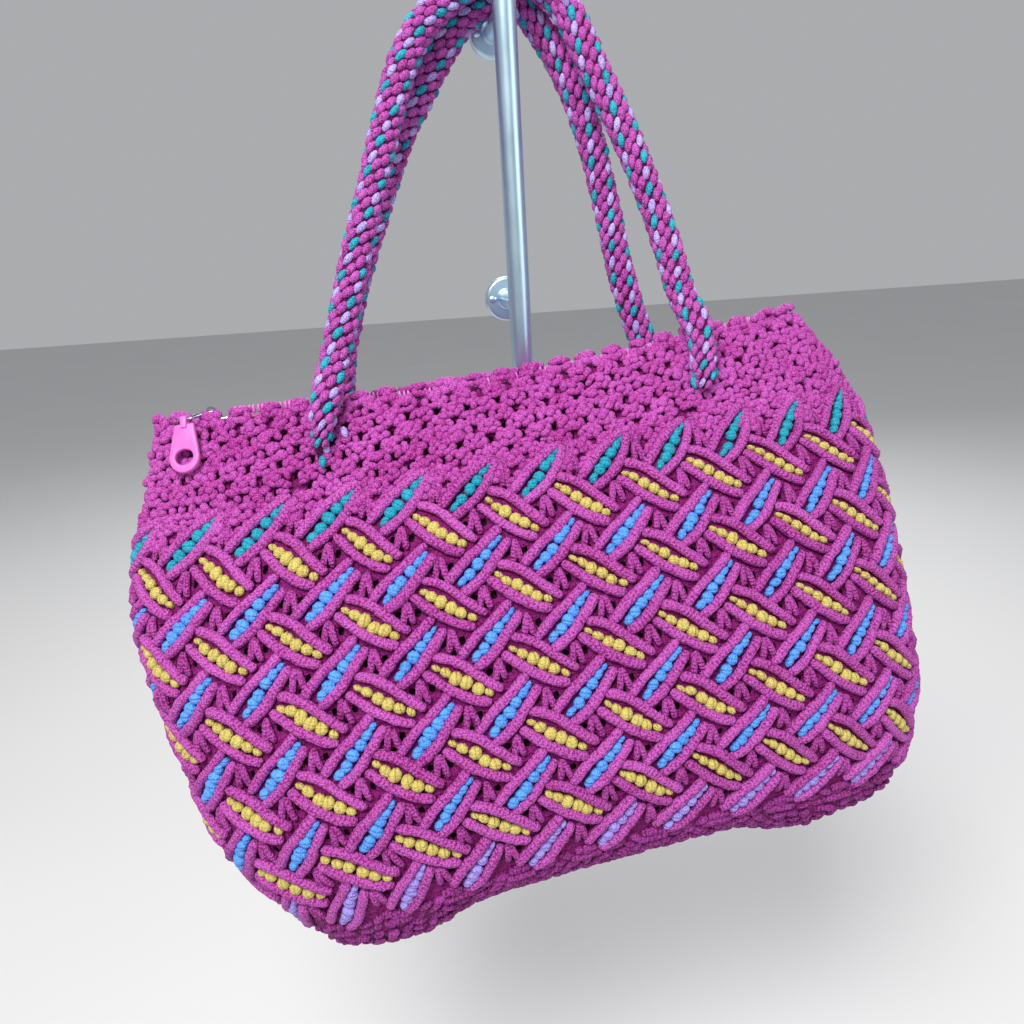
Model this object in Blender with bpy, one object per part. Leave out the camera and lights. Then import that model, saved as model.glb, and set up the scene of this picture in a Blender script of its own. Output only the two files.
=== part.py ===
"""Macrame handbag of knotted nylon cord, hanging by its two braided handles over a door pull bar.

Frame: the door is the plane y = 0, the bag hangs in front of it at minus y, and z is up.
The origin is the centre of the upper rosette's back face, where it is screwed to the door.
Lengths are written in millimetres and turned into metres when a mesh is made.
"""
import math
import bpy
import bmesh
from mathutils import Vector, Matrix, Euler

MM = 0.001

# Pull bar: a plain round tube on two posts, each with a round rosette on the door.
BAR_R = 5.4            # outside radius of the tube
BAR_Y = -43.2          # tube axis to door
BAR_TOP = 50.0         # top end of the tube
BAR_LOW = -178.0       # lower end of the tube, behind the bag
POST_Z = (0.0, -128.0)  # heights of the two posts, 128 mm apart
POST_R = 4.5
ROSETTE_R = 11.5
ROSETTE_T = 5.0
SCREW_X = 7.9          # screws sit left and right of each post
SCREW_R = 1.9

# Bag: how the whole bag hangs, measured from the middle of its back wall at leaf row 0.
BAG_AT = (-11.2, -56.0, -202.3)
BAG_TURN = (-6.16, -4.05, 1.85)      # lean, tilt and turn, in degrees
SKEW = 0.028                         # rows climb this much to the right

# Outer face of the wall. Columns: height, half width, half depth, squareness of the
# plan (2 is an ellipse), shift to the right, rise of the two ends above the middle.
WALL = [
    (44.0, 154.0, 18.0, 2.00, -5.0, 8.0),
    (22.0, 165.0, 26.0, 2.00, -2.5, 1.0),
    (0.0, 176.3, 32.0, 2.00, -2.3, -4.0),
    (-29.0, 179.3, 40.5, 2.30, -3.5, -6.5),
    (-58.0, 178.3, 45.5, 2.65, -2.8, -9.0),
    (-87.0, 174.5, 49.5, 2.95, -0.4, -11.5),
    (-118.0, 169.3, 52.5, 3.30, 2.2, -13.0),
    (-151.0, 159.0, 51.0, 3.60, 5.6, -12.0),
    (-178.0, 147.5, 46.5, 3.60, 7.6, -6.0),
    (-189.0, 134.0, 40.0, 3.20, 7.0, -4.0),
    (-194.0, 114.0, 30.0, 2.80, 6.0, -3.0),
]
LEAVES = 24            # leaves in one row round the bag
LEAF_ROWS = 11         # row 0 is the top one
FIRST_LEAF = 0.048     # how far round the bag leaf 0 of row 0 sits, from the left end
ROW_DRIFT = -0.00055   # each row sets off this much further back
CREST = 3.4            # ribs stand this high above the windows between the leaves
LEVELS = {"bead": 2.0, "crest": 3.4, "tip": 2.8, "end": 2.4, "foot": 0.4, "window": 0.0}
PLAIN = 1.8            # level of the plain knotting above and below the leaves
WALL_T = 7.0           # rib crest to inner face
SCALLOP = 1.6          # each knot of the rim stands up this much

# Handles. Columns: x, y, z of the middle of the rope, and its radius.
ROPE_R = 7.2
ROPE_GROOVE = 0.7
ROPE_LOBES = 8
ROPE_LAY = 170.0       # length of one full turn of the lobes
FRONT_ROPE = [
    (-101.5, -106.6, -184.5, 2.4), (-98.5, -101.2, -170.5, 5.6), (-95.0, -94.6, -158.0, ROPE_R),
    (-91.0, -88.0, -146.0, ROPE_R), (-83.5, -78.2, -122.7, ROPE_R), (-75.6, -68.2, -97.3, ROPE_R),
    (-66.3, -58.0, -71.4, ROPE_R), (-57.1, -47.5, -44.7, ROPE_R), (-45.6, -37.0, -17.9, ROPE_R),
    (-32.5, -31.2, 1.4, ROPE_R), (-15.0, -30.0, 14.0, ROPE_R), (2.0, -30.0, 18.7, ROPE_R),
    (18.0, -30.0, 14.2, ROPE_R), (33.5, -30.6, 2.0, ROPE_R), (43.1, -37.6, -21.6, ROPE_R),
    (49.7, -43.9, -39.2, ROPE_R), (57.2, -53.0, -63.5, ROPE_R), (63.4, -60.6, -86.3, ROPE_R),
    (67.6, -66.8, -103.7, ROPE_R), (71.6, -76.5, -127.0, ROPE_R), (75.0, -88.9, -141.0, ROPE_R),
    (76.5, -97.0, -152.2, 5.6), (77.2, -103.9, -165.5, 2.4),
]
BACK_ROPE = [
    (-95.5, -57.4, -186.0, 2.4), (-93.5, -52.8, -173.0, 5.6), (-90.5, -48.7, -159.5, ROPE_R),
    (-86.0, -45.5, -145.0, ROPE_R), (-74.5, -37.5, -114.0, ROPE_R), (-60.8, -29.5, -80.3, ROPE_R),
    (-47.5, -24.4, -48.8, ROPE_R), (-38.0, -21.7, -31.5, ROPE_R), (-25.0, -18.6, -11.5, ROPE_R),
    (-11.5, -16.8, 6.0, ROPE_R), (2.5, -16.5, 12.3, ROPE_R), (14.5, -16.7, 6.6, ROPE_R),
    (24.6, -17.8, -8.5, ROPE_R), (32.0, -20.2, -23.1, ROPE_R), (37.4, -22.6, -37.6, ROPE_R),
    (42.7, -25.3, -54.6, ROPE_R), (46.7, -28.1, -71.7, ROPE_R), (50.0, -31.0, -90.0, ROPE_R),
    (54.0, -34.6, -115.0, ROPE_R), (59.5, -38.6, -138.0, ROPE_R), (64.0, -41.9, -152.5, ROPE_R),
    (67.5, -45.2, -163.0, 5.8), (70.5, -49.2, -176.0, 2.4),
]

# Zip: two tapes across the mouth, a closed chain of teeth, a slider, a wire loop and a puller.
MOUTH_HALF = 134.0     # the zip runs this far to each side
TAPE_T = 0.9
TAPE_DROP = 3.0        # tape top below the rim
CHAIN_W = 4.6
CHAIN_T = 2.4
SLIDER_X = -131.0
WIRE_R = 0.6
PULLER_T = 2.2

for old in list(bpy.data.objects):
    bpy.data.objects.remove(old, do_unlink=True)


def material(name, colour, rough, metal=0.0):
    mat = bpy.data.materials.new(name)
    mat.use_nodes = True
    shader = mat.node_tree.nodes["Principled BSDF"]
    shader.inputs["Base Color"].default_value = (*colour, 1.0)
    shader.inputs["Roughness"].default_value = rough
    shader.inputs["Metallic"].default_value = metal
    mat.diffuse_color = (*colour, 1.0)
    return mat


def add_object(name, mesh, mat, place=None):
    """Link a finished mesh under its part name."""
    mesh.materials.clear()
    mesh.materials.append(mat)
    obj = bpy.data.objects.new(name, mesh)
    bpy.context.scene.collection.objects.link(obj)
    if place is not None:
        obj.matrix_world = place
    return obj


def mesh_of(name, points, faces):
    """Points in millimetres and their faces, as a closed mesh facing outwards."""
    bm = bmesh.new()
    verts = [bm.verts.new(Vector(p) * MM) for p in points]
    for face in faces:
        bm.faces.new([verts[i] for i in face])
    bmesh.ops.recalc_face_normals(bm, faces=bm.faces)
    mesh = bpy.data.meshes.new(name)
    bm.to_mesh(mesh)
    bm.free()
    return mesh


def glide(table, at):
    """Smooth value of every column of a table at one place along its first column."""
    rows = sorted(table)
    at = min(max(at, rows[0][0]), rows[-1][0])
    k = 0
    while k < len(rows) - 2 and at > rows[k + 1][0]:
        k += 1
    a, b = rows[k], rows[k + 1]
    before, after = rows[max(k - 1, 0)], rows[min(k + 2, len(rows) - 1)]
    span = b[0] - a[0]
    t = (at - a[0]) / span
    out = []
    for c in range(1, len(a)):
        slope_a = (b[c] - before[c]) / (b[0] - before[0]) * span
        slope_b = (after[c] - a[c]) / (after[0] - a[0]) * span
        out.append((2 * t**3 - 3 * t**2 + 1) * a[c] + (t**3 - 2 * t**2 + t) * slope_a
                   + (3 * t**2 - 2 * t**3) * b[c] + (t**3 - t**2) * slope_b)
    return out


def round_plan(half_w, half_d, power, turns):
    """Points of a squared-off oval at even walks round it; 0 is the left end, 0.25 the front."""
    steps = 720
    line = []
    for s in range(steps + 1):
        a = 2 * math.pi * s / steps
        c, d = math.cos(a), math.sin(a)
        line.append((-half_w * math.copysign(abs(c) ** (2 / power), c),
                     -half_d * math.copysign(abs(d) ** (2 / power), d)))
    walk = [0.0]
    for p, q in zip(line, line[1:]):
        walk.append(walk[-1] + math.dist(p, q))
    out, k = [], 0
    order = sorted(range(len(turns)), key=lambda i: turns[i] % 1.0)
    places = {}
    for i in order:
        want = (turns[i] % 1.0) * walk[-1]
        while walk[k + 1] < want:
            k += 1
        f = (want - walk[k]) / max(walk[k + 1] - walk[k], 1e-9)
        places[i] = (line[k][0] + f * (line[k + 1][0] - line[k][0]),
                     line[k][1] + f * (line[k + 1][1] - line[k][1]))
    for i in range(len(turns)):
        out.append(places[i])
    return out


def wall_ring(height, turns, inset=0.0, lift=0.0):
    """One level of the wall, as seen from above, moved in by inset and up by lift."""
    half_w, half_d, power, shift, rise = glide(WALL, height)
    ring = []
    for x, y in round_plan(half_w - inset, half_d - inset, power, turns):
        z = height + lift + rise * (x / half_w) ** 2 + SKEW * x
        ring.append(Vector((x + shift, y - half_d, z)))
    return ring


def row_height(row):
    """Height of a leaf row, which may be a fraction of a row."""
    return -(14.2 * row + 0.09 * row * row)


BAG_PLACE = (Matrix.Translation(Vector(BAG_AT) * MM)
             @ Euler([math.radians(a) for a in BAG_TURN], "XYZ").to_matrix().to_4x4())

pink_cord = material("pink_cord", (0.56, 0.09, 0.42), 0.75)
rope_cord = material("rope_cord", (0.60, 0.12, 0.46), 0.7)
zip_pink = material("zip_pink", (0.85, 0.25, 0.55), 0.6)
puller_pink = material("puller_pink", (0.86, 0.42, 0.80), 0.35)
wire_metal = material("wire_metal", (0.75, 0.76, 0.80), 0.2, 1.0)
bar_metal = material("bar_metal", (0.55, 0.58, 0.62), 0.15, 1.0)

# Pull bar, posts, rosettes and screws. The posts stop 0.3 mm short of the tube.
cutters = bpy.data.collections.new("cutters")
bpy.context.scene.collection.children.link(cutters)


def cylinder(name, radius, length, centre, axis, sides, soften=0.0):
    """A round bar in millimetres along Y or Z, its end edges softened."""
    bm = bmesh.new()
    bmesh.ops.create_cone(bm, cap_ends=True, segments=sides, radius1=radius * MM,
                          radius2=radius * MM, depth=length * MM)
    if soften:
        edges = [e for e in bm.edges if abs(e.verts[0].co.z - e.verts[1].co.z) < 1e-9]
        bmesh.ops.bevel(bm, geom=edges, offset=soften * MM, segments=1 if sides < 24 else 2,
                         affect="EDGES", profile=0.5)
    turn = Matrix.Rotation(math.radians(90), 4, "X") if axis == "Y" else Matrix.Identity(4)
    bmesh.ops.transform(bm, matrix=Matrix.Translation(Vector(centre) * MM) @ turn, verts=bm.verts)
    mesh = bpy.data.meshes.new(name)
    bm.to_mesh(mesh)
    bm.free()
    return mesh


add_object("pull_bar", cylinder("pull_bar", BAR_R, BAR_TOP - BAR_LOW,
                                (0, BAR_Y, (BAR_TOP + BAR_LOW) / 2), "Z", 24, 0.8), bar_metal)
saddle = add_object("saddle_cut", cylinder("saddle_cut", BAR_R + 0.3, 260.0,
                                           (0, BAR_Y, -64.0), "Z", 48), bar_metal)
saddle.hide_render = True
saddle.display_type = "WIRE"
bpy.context.scene.collection.objects.unlink(saddle)
cutters.objects.link(saddle)
for label, z in zip(("upper", "lower"), POST_Z):
    near, far = -(ROSETTE_T + 0.3), BAR_Y + 1.5
    post = add_object("post_" + label, cylinder("post_" + label, POST_R, near - far,
                                                (0, (near + far) / 2, z), "Y", 24), bar_metal)
    cut = post.modifiers.new("saddle", "BOOLEAN")
    cut.object = saddle
    cut.operation = "DIFFERENCE"
    cut.solver = "EXACT"
    # Rosette: a disc with a rounded front edge, lying on the door.
    add_object("rosette_" + label, cylinder("rosette_" + label, ROSETTE_R, ROSETTE_T,
                                            (0, -ROSETTE_T / 2, z), "Y", 24, 1.2), bar_metal)
    # Screws: low round heads on the rosette, either side of the post.
    for side, x in (("left", -SCREW_X), ("right", SCREW_X)):
        head = cylinder("screw", SCREW_R, 1.1, (x, -ROSETTE_T - 0.85, z), "Y", 10, 0.45)
        add_object("screw_" + label + "_" + side, head, bar_metal)


def leaf_level(col, ring):
    """Level and sideways pull of one wall point; three points make half a leaf pitch or one row.

    Leaves of even rows lean to the right and those of odd rows to the left.
    """
    for row in range(max(0, ring // 3 - 1), min(LEAF_ROWS, ring // 3 + 3)):
        odd = row % 2
        down = ring - 3 * row
        across = (col - 3 * odd + 3) % 6 - 3
        lean = -1 if odd else 1
        along, side = (across - lean * down) / 2, (across + lean * down) / 2
        if abs(side) == 0 and abs(along) <= 1:
            return LEVELS["bead"], 0.0, 0.0
        if abs(side) == 0 and abs(along) == 2:
            return LEVELS["end"], 0.0, 0.0
        if abs(side) == 0.5 and abs(along) == 0.5:
            return LEVELS["crest"], 0.24 * side, 0.24 * side * lean
        if abs(side) == 0.5 and abs(along) == 1.5:
            return LEVELS["tip"], -0.4 * side, -0.4 * side * lean
    if 0 <= ring <= 3 * (LEAF_ROWS - 1) and (col % 6, ring % 6) in ((3, 0), (0, 3)):
        return LEVELS["window"], 0.0, 0.0
    return LEVELS["foot"], 0.0, 0.0


# Bag body: one knotted cloth, closed at the foot and open at the mouth. The outer skin is a
# net of points, three to each half leaf, raised into ribs and beads; the inner face is plain.
COLS = LEAVES * 6
FIRST_RING, LAST_RING = -2, 3 * (LEAF_ROWS - 1) + 2
INNER_COLS = COLS // 3
body_points, body_faces, outer = [], [], []


def keep_ring(ring):
    start = len(body_points)
    body_points.extend(ring)
    return list(range(start, start + len(ring)))


def turns_at(row, count=COLS):
    first = FIRST_LEAF + ROW_DRIFT * row
    return [first + k / count for k in range(count)]


rim_lift = [SCALLOP if k % 3 == 0 else 0.0 for k in range(COLS)]
rim_outer = wall_ring(44.0, turns_at(-3), inset=CREST - PLAIN, lift=-SCALLOP)
rim_inner = wall_ring(44.0, turns_at(-3), inset=CREST - PLAIN + 5.2, lift=-SCALLOP)
for ring in (rim_outer, rim_inner):
    for k, point in enumerate(ring):
        point.z += rim_lift[k]
rings = [keep_ring(rim_outer), keep_ring(wall_ring(27.0, turns_at(-2), inset=CREST - PLAIN))]
for ring_no in range(FIRST_RING, LAST_RING + 1):
    row = ring_no / 3
    turns, levels, falls = [], [], []
    for k in range(COLS):
        level, pull_x, pull_z = leaf_level(k, ring_no)
        turns.append(FIRST_LEAF + ROW_DRIFT * row + (k + pull_x) / COLS)
        levels.append(level)
        falls.append(pull_z)
    here = wall_ring(row_height(row), turns)
    above = wall_ring(row_height(row - 0.2), turns)
    points = []
    for k in range(COLS):
        along = here[(k + 1) % COLS] - here[k - 1]
        up = above[k] - here[k]
        outward = along.cross(up).normalized()
        points.append(here[k] - up.normalized() * falls[k] * 4.9 + outward * (levels[k] - CREST))
    rings.append(keep_ring(points))
for a in range(len(rings) - 1):
    upper, lower = rings[a], rings[a + 1]
    ring_no = FIRST_RING + a - 2
    for k in range(COLS):
        j = (k + 1) % COLS
        square = (upper[k], upper[j], lower[j], lower[k])
        # Each cell is split along the half leaf in it, and across at the next leaf's flank.
        cell = ((k // 3) % 2, (ring_no // 3) % 2)
        flank = {(0, 0): (0, 0), (1, 0): (0, 2), (0, 1): (2, 0), (1, 1): (2, 2)}[cell]
        falls = cell[0] == cell[1]
        if (k % 3, ring_no % 3) == flank:
            falls = not falls
        if falls:
            body_faces += [(square[0], square[1], square[2]), (square[0], square[2], square[3])]
        else:
            body_faces += [(square[0], square[1], square[3]), (square[1], square[2], square[3])]


def step_down(wide, narrow):
    """Join a ring to one with a third of its points."""
    count = len(narrow)
    for k in range(count):
        a, b = narrow[k], narrow[(k + 1) % count]
        w = [wide[(3 * k + s) % len(wide)] for s in range(4)]
        body_faces.extend([(w[0], w[1], a), (w[1], w[2], a), (w[2], b, a), (w[2], w[3], b)])


def bridge(one, two):
    for k in range(len(one)):
        j = (k + 1) % len(one)
        body_faces.append((one[k], one[j], two[j], two[k]))


foot_turns = turns_at(11, INNER_COLS)
foot_rings = [keep_ring(wall_ring(h, foot_turns, inset=CREST - PLAIN)) for h in (-178.0, -189.0, -194.0)]
step_down(rings[-1], foot_rings[0])
bridge(foot_rings[0], foot_rings[1])
bridge(foot_rings[1], foot_rings[2])
body_faces.append(tuple(foot_rings[2]))

inner_rim = keep_ring(rim_inner)
bridge(rings[0], inner_rim)
inner_turns = turns_at(-3, INNER_COLS)
inside = [keep_ring(wall_ring(h, inner_turns, inset=WALL_T)) for h in (30.0, 0.0, -50.0, -105.0, -150.0)]
inside.append(keep_ring(wall_ring(-174.0, inner_turns, inset=WALL_T + 2.0)))
inside.append(keep_ring(wall_ring(-174.0, inner_turns, inset=WALL_T + 16.0, lift=-9.0)))
step_down(inner_rim, inside[0])
for one, two in zip(inside, inside[1:]):
    bridge(one, two)
body_faces.append(tuple(inside[-1]))
add_object("bag_body", mesh_of("bag_body", body_points, body_faces), pink_cord, BAG_PLACE)


def follow(table, steps, closed=False):
    """Even steps along a smooth line through the rows of a table."""
    rows = [Vector(r) if len(r) == 3 else list(r) for r in table]
    count = len(rows)
    dense = []
    spans = count if closed else count - 1
    for k in range(spans):
        pick = [rows[(k + s) % count] if closed else rows[min(max(k + s, 0), count - 1)]
                for s in (-1, 0, 1, 2)]
        for s in range(12):
            t = s / 12
            dense.append([0.5 * (2 * b + (c - a) * t + (2 * a - 5 * b + 4 * c - d) * t * t
                                 + (3 * b - a - 3 * c + d) * t**3)
                          for a, b, c, d in zip(*pick)])
    dense.append(list(rows[0]) if closed else list(rows[-1]))
    walk = [0.0]
    for p, q in zip(dense, dense[1:]):
        walk.append(walk[-1] + math.dist(p[:3], q[:3]))
    out, k = [], 0
    last = steps if closed else steps + 1
    for s in range(last):
        want = walk[-1] * s / steps
        while k < len(walk) - 2 and walk[k + 1] < want:
            k += 1
        f = (want - walk[k]) / max(walk[k + 1] - walk[k], 1e-9)
        out.append([p + f * (q - p) for p, q in zip(dense[k], dense[k + 1])])
    return out, walk[-1]


def sweep(name, line, section, closed=False):
    """Carry a cross-section along a line; section(step, radius) gives its flat points."""
    points, faces = [], []
    count = len(line)
    spots = [Vector(p[:3]) for p in line]
    heads = []
    for k in range(count):
        a = spots[(k - 1) % count] if closed or k else spots[k]
        b = spots[(k + 1) % count] if closed or k < count - 1 else spots[k]
        heads.append((b - a).normalized())
    side = heads[0].orthogonal().normalized()
    frames = []
    for k in range(count):
        side = (side - heads[k] * side.dot(heads[k])).normalized()
        frames.append((side.copy(), heads[k].cross(side)))
    ring_size = 0
    for k in range(count):
        flat = section(k, line[k])
        ring_size = len(flat)
        for u, v in flat:
            points.append(spots[k] + frames[k][0] * u + frames[k][1] * v)
    for k in range(count if closed else count - 1):
        for s in range(ring_size):
            t = (s + 1) % ring_size
            j = (k + 1) % count
            faces.append((k * ring_size + s, k * ring_size + t, j * ring_size + t, j * ring_size + s))
    if not closed:
        faces.append(tuple(range(ring_size)))
        faces.append(tuple((count - 1) * ring_size + s for s in range(ring_size)))
    return mesh_of(name, points, faces)


def rope_section(step_length):
    """Round rope with one lobe for each column of braid, slowly turning along its length."""
    def points(step, row):
        turn = 2 * math.pi * step * step_length / ROPE_LAY
        flat = []
        for s in range(2 * ROPE_LOBES):
            radius = row[3] - (ROPE_GROOVE * row[3] / ROPE_R if s % 2 else 0.0)
            a = turn + math.pi * s / ROPE_LOBES
            flat.append((radius * math.cos(a), radius * math.sin(a)))
        return flat
    return points


# Handles: two braided ropes, each over the upper post behind the tube, ends tapered on the wall.
ROPE_STEPS = 44
for name, table in (("handle_front", FRONT_ROPE), ("handle_back", BACK_ROPE)):
    line, length = follow(table, ROPE_STEPS)
    add_object(name, sweep(name, line, rope_section(length / ROPE_STEPS)), rope_cord)


def mouth_line(x):
    """Middle of the mouth at rim height, for a place across the bag."""
    half_w, half_d, power, shift, rise = glide(WALL, 44.0)
    local = x - shift
    return Vector((x, -half_d, 44.0 - SCALLOP + rise * (local / half_w) ** 2 + SKEW * local))


def mouth_half(x):
    """Half the clear width of the mouth at a place across the bag."""
    half_w, half_d, power, shift, rise = glide(WALL, 44.0)
    inset = CREST - PLAIN + 5.2
    return (half_d - inset) * math.sqrt(max(0.0, 1 - ((x - shift) / (half_w - inset)) ** 2))


# Zip tapes: two flat strips, from just inside the rim to the middle of the mouth.
SPANS = 28
for label, sign in (("front", -1), ("back", 1)):
    points, faces = [], []
    for k in range(SPANS + 1):
        x = -5.0 + MOUTH_HALF * (2 * k / SPANS - 1)
        middle = mouth_line(x)
        edge = mouth_half(x) - (0.6 if sign < 0 else 1.0)
        for y in (0.2, edge):
            for z in (-TAPE_DROP, -TAPE_DROP - TAPE_T):
                points.append(middle + Vector((0, sign * y, z)))
    for k in range(SPANS):
        a, b = 4 * k, 4 * k + 4
        faces += [(a, a + 2, b + 2, b), (a + 1, b + 1, b + 3, a + 3), (a, b, b + 1, a + 1),
                  (a + 2, a + 3, b + 3, b + 2)]
    faces += [(0, 1, 3, 2), (4 * SPANS, 4 * SPANS + 2, 4 * SPANS + 3, 4 * SPANS + 1)]
    add_object("zip_tape_" + label, mesh_of("zip_tape_" + label, points, faces), zip_pink, BAG_PLACE)

# Zip chain: the two closed rows of teeth as one low ridge; the teeth themselves are under 4 mm.
points, faces = [], []
chain_start, chain_end = SLIDER_X + 6.2, -5.0 + MOUTH_HALF
for k in range(SPANS + 1):
    middle = mouth_line(chain_start + (chain_end - chain_start) * k / SPANS)
    low = -TAPE_DROP + 0.35
    for y, z in ((-CHAIN_W / 2, low), (-CHAIN_W / 2 + 0.6, low + CHAIN_T),
                 (CHAIN_W / 2 - 0.6, low + CHAIN_T), (CHAIN_W / 2, low)):
        points.append(middle + Vector((0, y, z)))
for k in range(SPANS):
    for s in range(4):
        t = (s + 1) % 4
        faces.append((4 * k + s, 4 * k + t, 4 * k + 4 + t, 4 * k + 4 + s))
faces += [(0, 1, 2, 3), tuple(4 * SPANS + s for s in range(4))]
add_object("zip_chain", mesh_of("zip_chain", points, faces), zip_pink, BAG_PLACE)

# Zip slider: a small rounded block at the left end, with a flat tab holed for the wire loop.
slide_at = mouth_line(SLIDER_X) + Vector((0, 0, -TAPE_DROP + 0.36))
bm = bmesh.new()
bmesh.ops.create_cube(bm, size=1.0, matrix=Matrix.Translation((0, 0, 2.3)) @ Matrix.Diagonal((11, 7.6, 4.6, 1)))
bmesh.ops.bevel(bm, geom=list(bm.edges), offset=0.9, segments=2, affect="EDGES", profile=0.5)
bmesh.ops.scale(bm, vec=(MM, MM, MM), verts=bm.verts)
slider_mesh = bpy.data.meshes.new("zip_slider")
bm.to_mesh(slider_mesh)
bm.free()
tilt_here = math.atan2(mouth_line(SLIDER_X + 5).z - mouth_line(SLIDER_X - 5).z, 10.0)
slider_place = BAG_PLACE @ Matrix.Translation(slide_at * MM) @ Matrix.Rotation(-tilt_here, 4, "Y")
slider = add_object("zip_slider", slider_mesh, wire_metal, slider_place)


def tube_cutter(name, radius, length, place):
    cutter = add_object(name, cylinder(name, radius, length, (0, 0, 0), "Z", 16), wire_metal, place)
    cutter.hide_render = True
    cutter.display_type = "WIRE"
    bpy.context.scene.collection.objects.unlink(cutter)
    cutters.objects.link(cutter)
    return cutter


def combine(obj, other, kind):
    mod = obj.modifiers.new(kind.lower(), "BOOLEAN")
    mod.object = other
    mod.operation = kind
    mod.solver = "EXACT"


# Wire loop: narrow in the slider's lug and wide in the puller's tongue, leaning over the rim.
LUG_REACH = 3.6                      # the lug's hole is this far left of the slider's middle
LUG_RISE = 6.9                       # and this far above the slider's foot
LOOP_STEP = Vector((-9.6, -11.6, -1.6))   # from the lug's hole to the tongue's hole
PULLER_TURN = math.radians(-15.0)
lug_hole = slide_at + Vector((-LUG_REACH, 0, LUG_RISE))
tongue_hole = lug_hole + LOOP_STEP
run = LOOP_STEP.normalized()
cross = run.cross(Vector((0, 0, 1))).normalized()
puller_side = Vector((math.cos(PULLER_TURN), math.sin(PULLER_TURN), 0))
if cross.dot(puller_side) < 0:
    cross.negate()
loop = [lug_hole, lug_hole + run * 1.7 + cross * 1.9, lug_hole + run * 7.5 + cross * 2.9,
        tongue_hole + puller_side * 3.5 - run * 0.9, tongue_hole + puller_side * 2.6, tongue_hole,
        tongue_hole - puller_side * 2.6, tongue_hole - puller_side * 3.5 - run * 0.9,
        lug_hole + run * 7.5 - cross * 2.9, lug_hole + run * 1.7 - cross * 1.9]
wire_line, _ = follow([tuple(p) for p in loop], 38, closed=True)


def wire_section(step, row):
    return [(WIRE_R * math.cos(math.pi * s / 3), WIRE_R * math.sin(math.pi * s / 3)) for s in range(6)]


add_object("zip_wire_loop", sweep("zip_wire_loop", wire_line, wire_section, closed=True),
           wire_metal, BAG_PLACE)


def boolean_piece(name, size, place):
    """A plain block used only to join to or cut from a solid."""
    bm = bmesh.new()
    bmesh.ops.create_cube(bm, size=1.0)
    bmesh.ops.scale(bm, vec=Vector(size) * MM, verts=bm.verts)
    mesh = bpy.data.meshes.new(name)
    bm.to_mesh(mesh)
    bm.free()
    piece = add_object(name, mesh, wire_metal, place)
    piece.hide_render = True
    piece.display_type = "WIRE"
    bpy.context.scene.collection.objects.unlink(piece)
    cutters.objects.link(piece)
    return piece


def along_x(direction):
    """Turn that lays a block's X along a level direction."""
    return Matrix.Rotation(math.atan2(direction.y, direction.x), 4, "Z")


# The slider's lug is an upright ear on its top; the loop's narrow end passes through it.
lug_turn = along_x(Vector((run.x, run.y, 0)))
lug = boolean_piece("slider_lug", (4.6, 1.5, 6.6), BAG_PLACE
                    @ Matrix.Translation((lug_hole + Vector((0, 0, -1.0))) * MM) @ lug_turn)
lug_cut = tube_cutter("lug_hole", 1.42, 8.0, BAG_PLACE @ Matrix.Translation(lug_hole * MM) @ lug_turn
                      @ Matrix.Rotation(math.radians(90), 4, "X"))
combine(slider, lug, "UNION")
combine(slider, lug_cut, "DIFFERENCE")

# Puller: a flat moulded tab with a finger hole, and a thicker tongue that the wire runs through.
PULLER_LEAN = math.radians(25.0)     # it lies back against the sloping wall


def arc_points(cx, cz, rx, rz, start, end, count):
    out = []
    for s in range(count + 1):
        a = math.radians(start + (end - start) * s / count)
        out.append((cx + rx * math.cos(a), cz + rz * math.sin(a)))
    return out


outline = [(-4.4, -3.2)] + arc_points(0, -18.4, 6.8, 6.8, 170, 370, 20) + [(4.4, -3.2)]
curve = bpy.data.curves.new("puller_shape", "CURVE")
curve.dimensions = "2D"
curve.fill_mode = "BOTH"
curve.extrude = PULLER_T / 2 * MM
for points in (outline, arc_points(0, -18.2, 4.1, 3.5, 0, 345, 23)):
    spline = curve.splines.new("POLY")
    spline.points.add(len(points) - 1)
    for point, (x, z) in zip(spline.points, points):
        point.co = (x * MM, z * MM, 0.0, 1.0)
    spline.use_cyclic_u = True
shape = bpy.data.objects.new("puller_shape", curve)
flat = bpy.data.meshes.new_from_object(shape)
bpy.data.objects.remove(shape)
bm = bmesh.new()
bm.from_mesh(flat)
bmesh.ops.remove_doubles(bm, verts=bm.verts, dist=0.00001)
bmesh.ops.recalc_face_normals(bm, faces=bm.faces)
bm.to_mesh(flat)
bm.free()
hang = (BAG_PLACE @ Matrix.Translation(tongue_hole * MM) @ Matrix.Rotation(PULLER_TURN, 4, "Z")
        @ Matrix.Rotation(math.radians(90) - PULLER_LEAN, 4, "X"))
puller = add_object("zip_puller", flat, puller_pink, hang)
tongue = boolean_piece("puller_tongue", (2.8, 7.0, 4.1), hang @ Matrix.Translation((0, -1.6 * MM, 0)))
tongue_cut = tube_cutter("tongue_hole", 1.4, 12.0, hang @ Matrix.Rotation(math.radians(90), 4, "Y"))
combine(puller, tongue, "UNION")
combine(puller, tongue_cut, "DIFFERENCE")
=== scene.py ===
"""Macrame handbag of knotted nylon cord, hanging by two braided handles over a door pull bar.

Lengths are written in millimetres and turned into metres as each piece is placed.
"""
import math
import bpy
import bmesh
import numpy as np
from mathutils import Euler, Matrix, Vector


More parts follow.
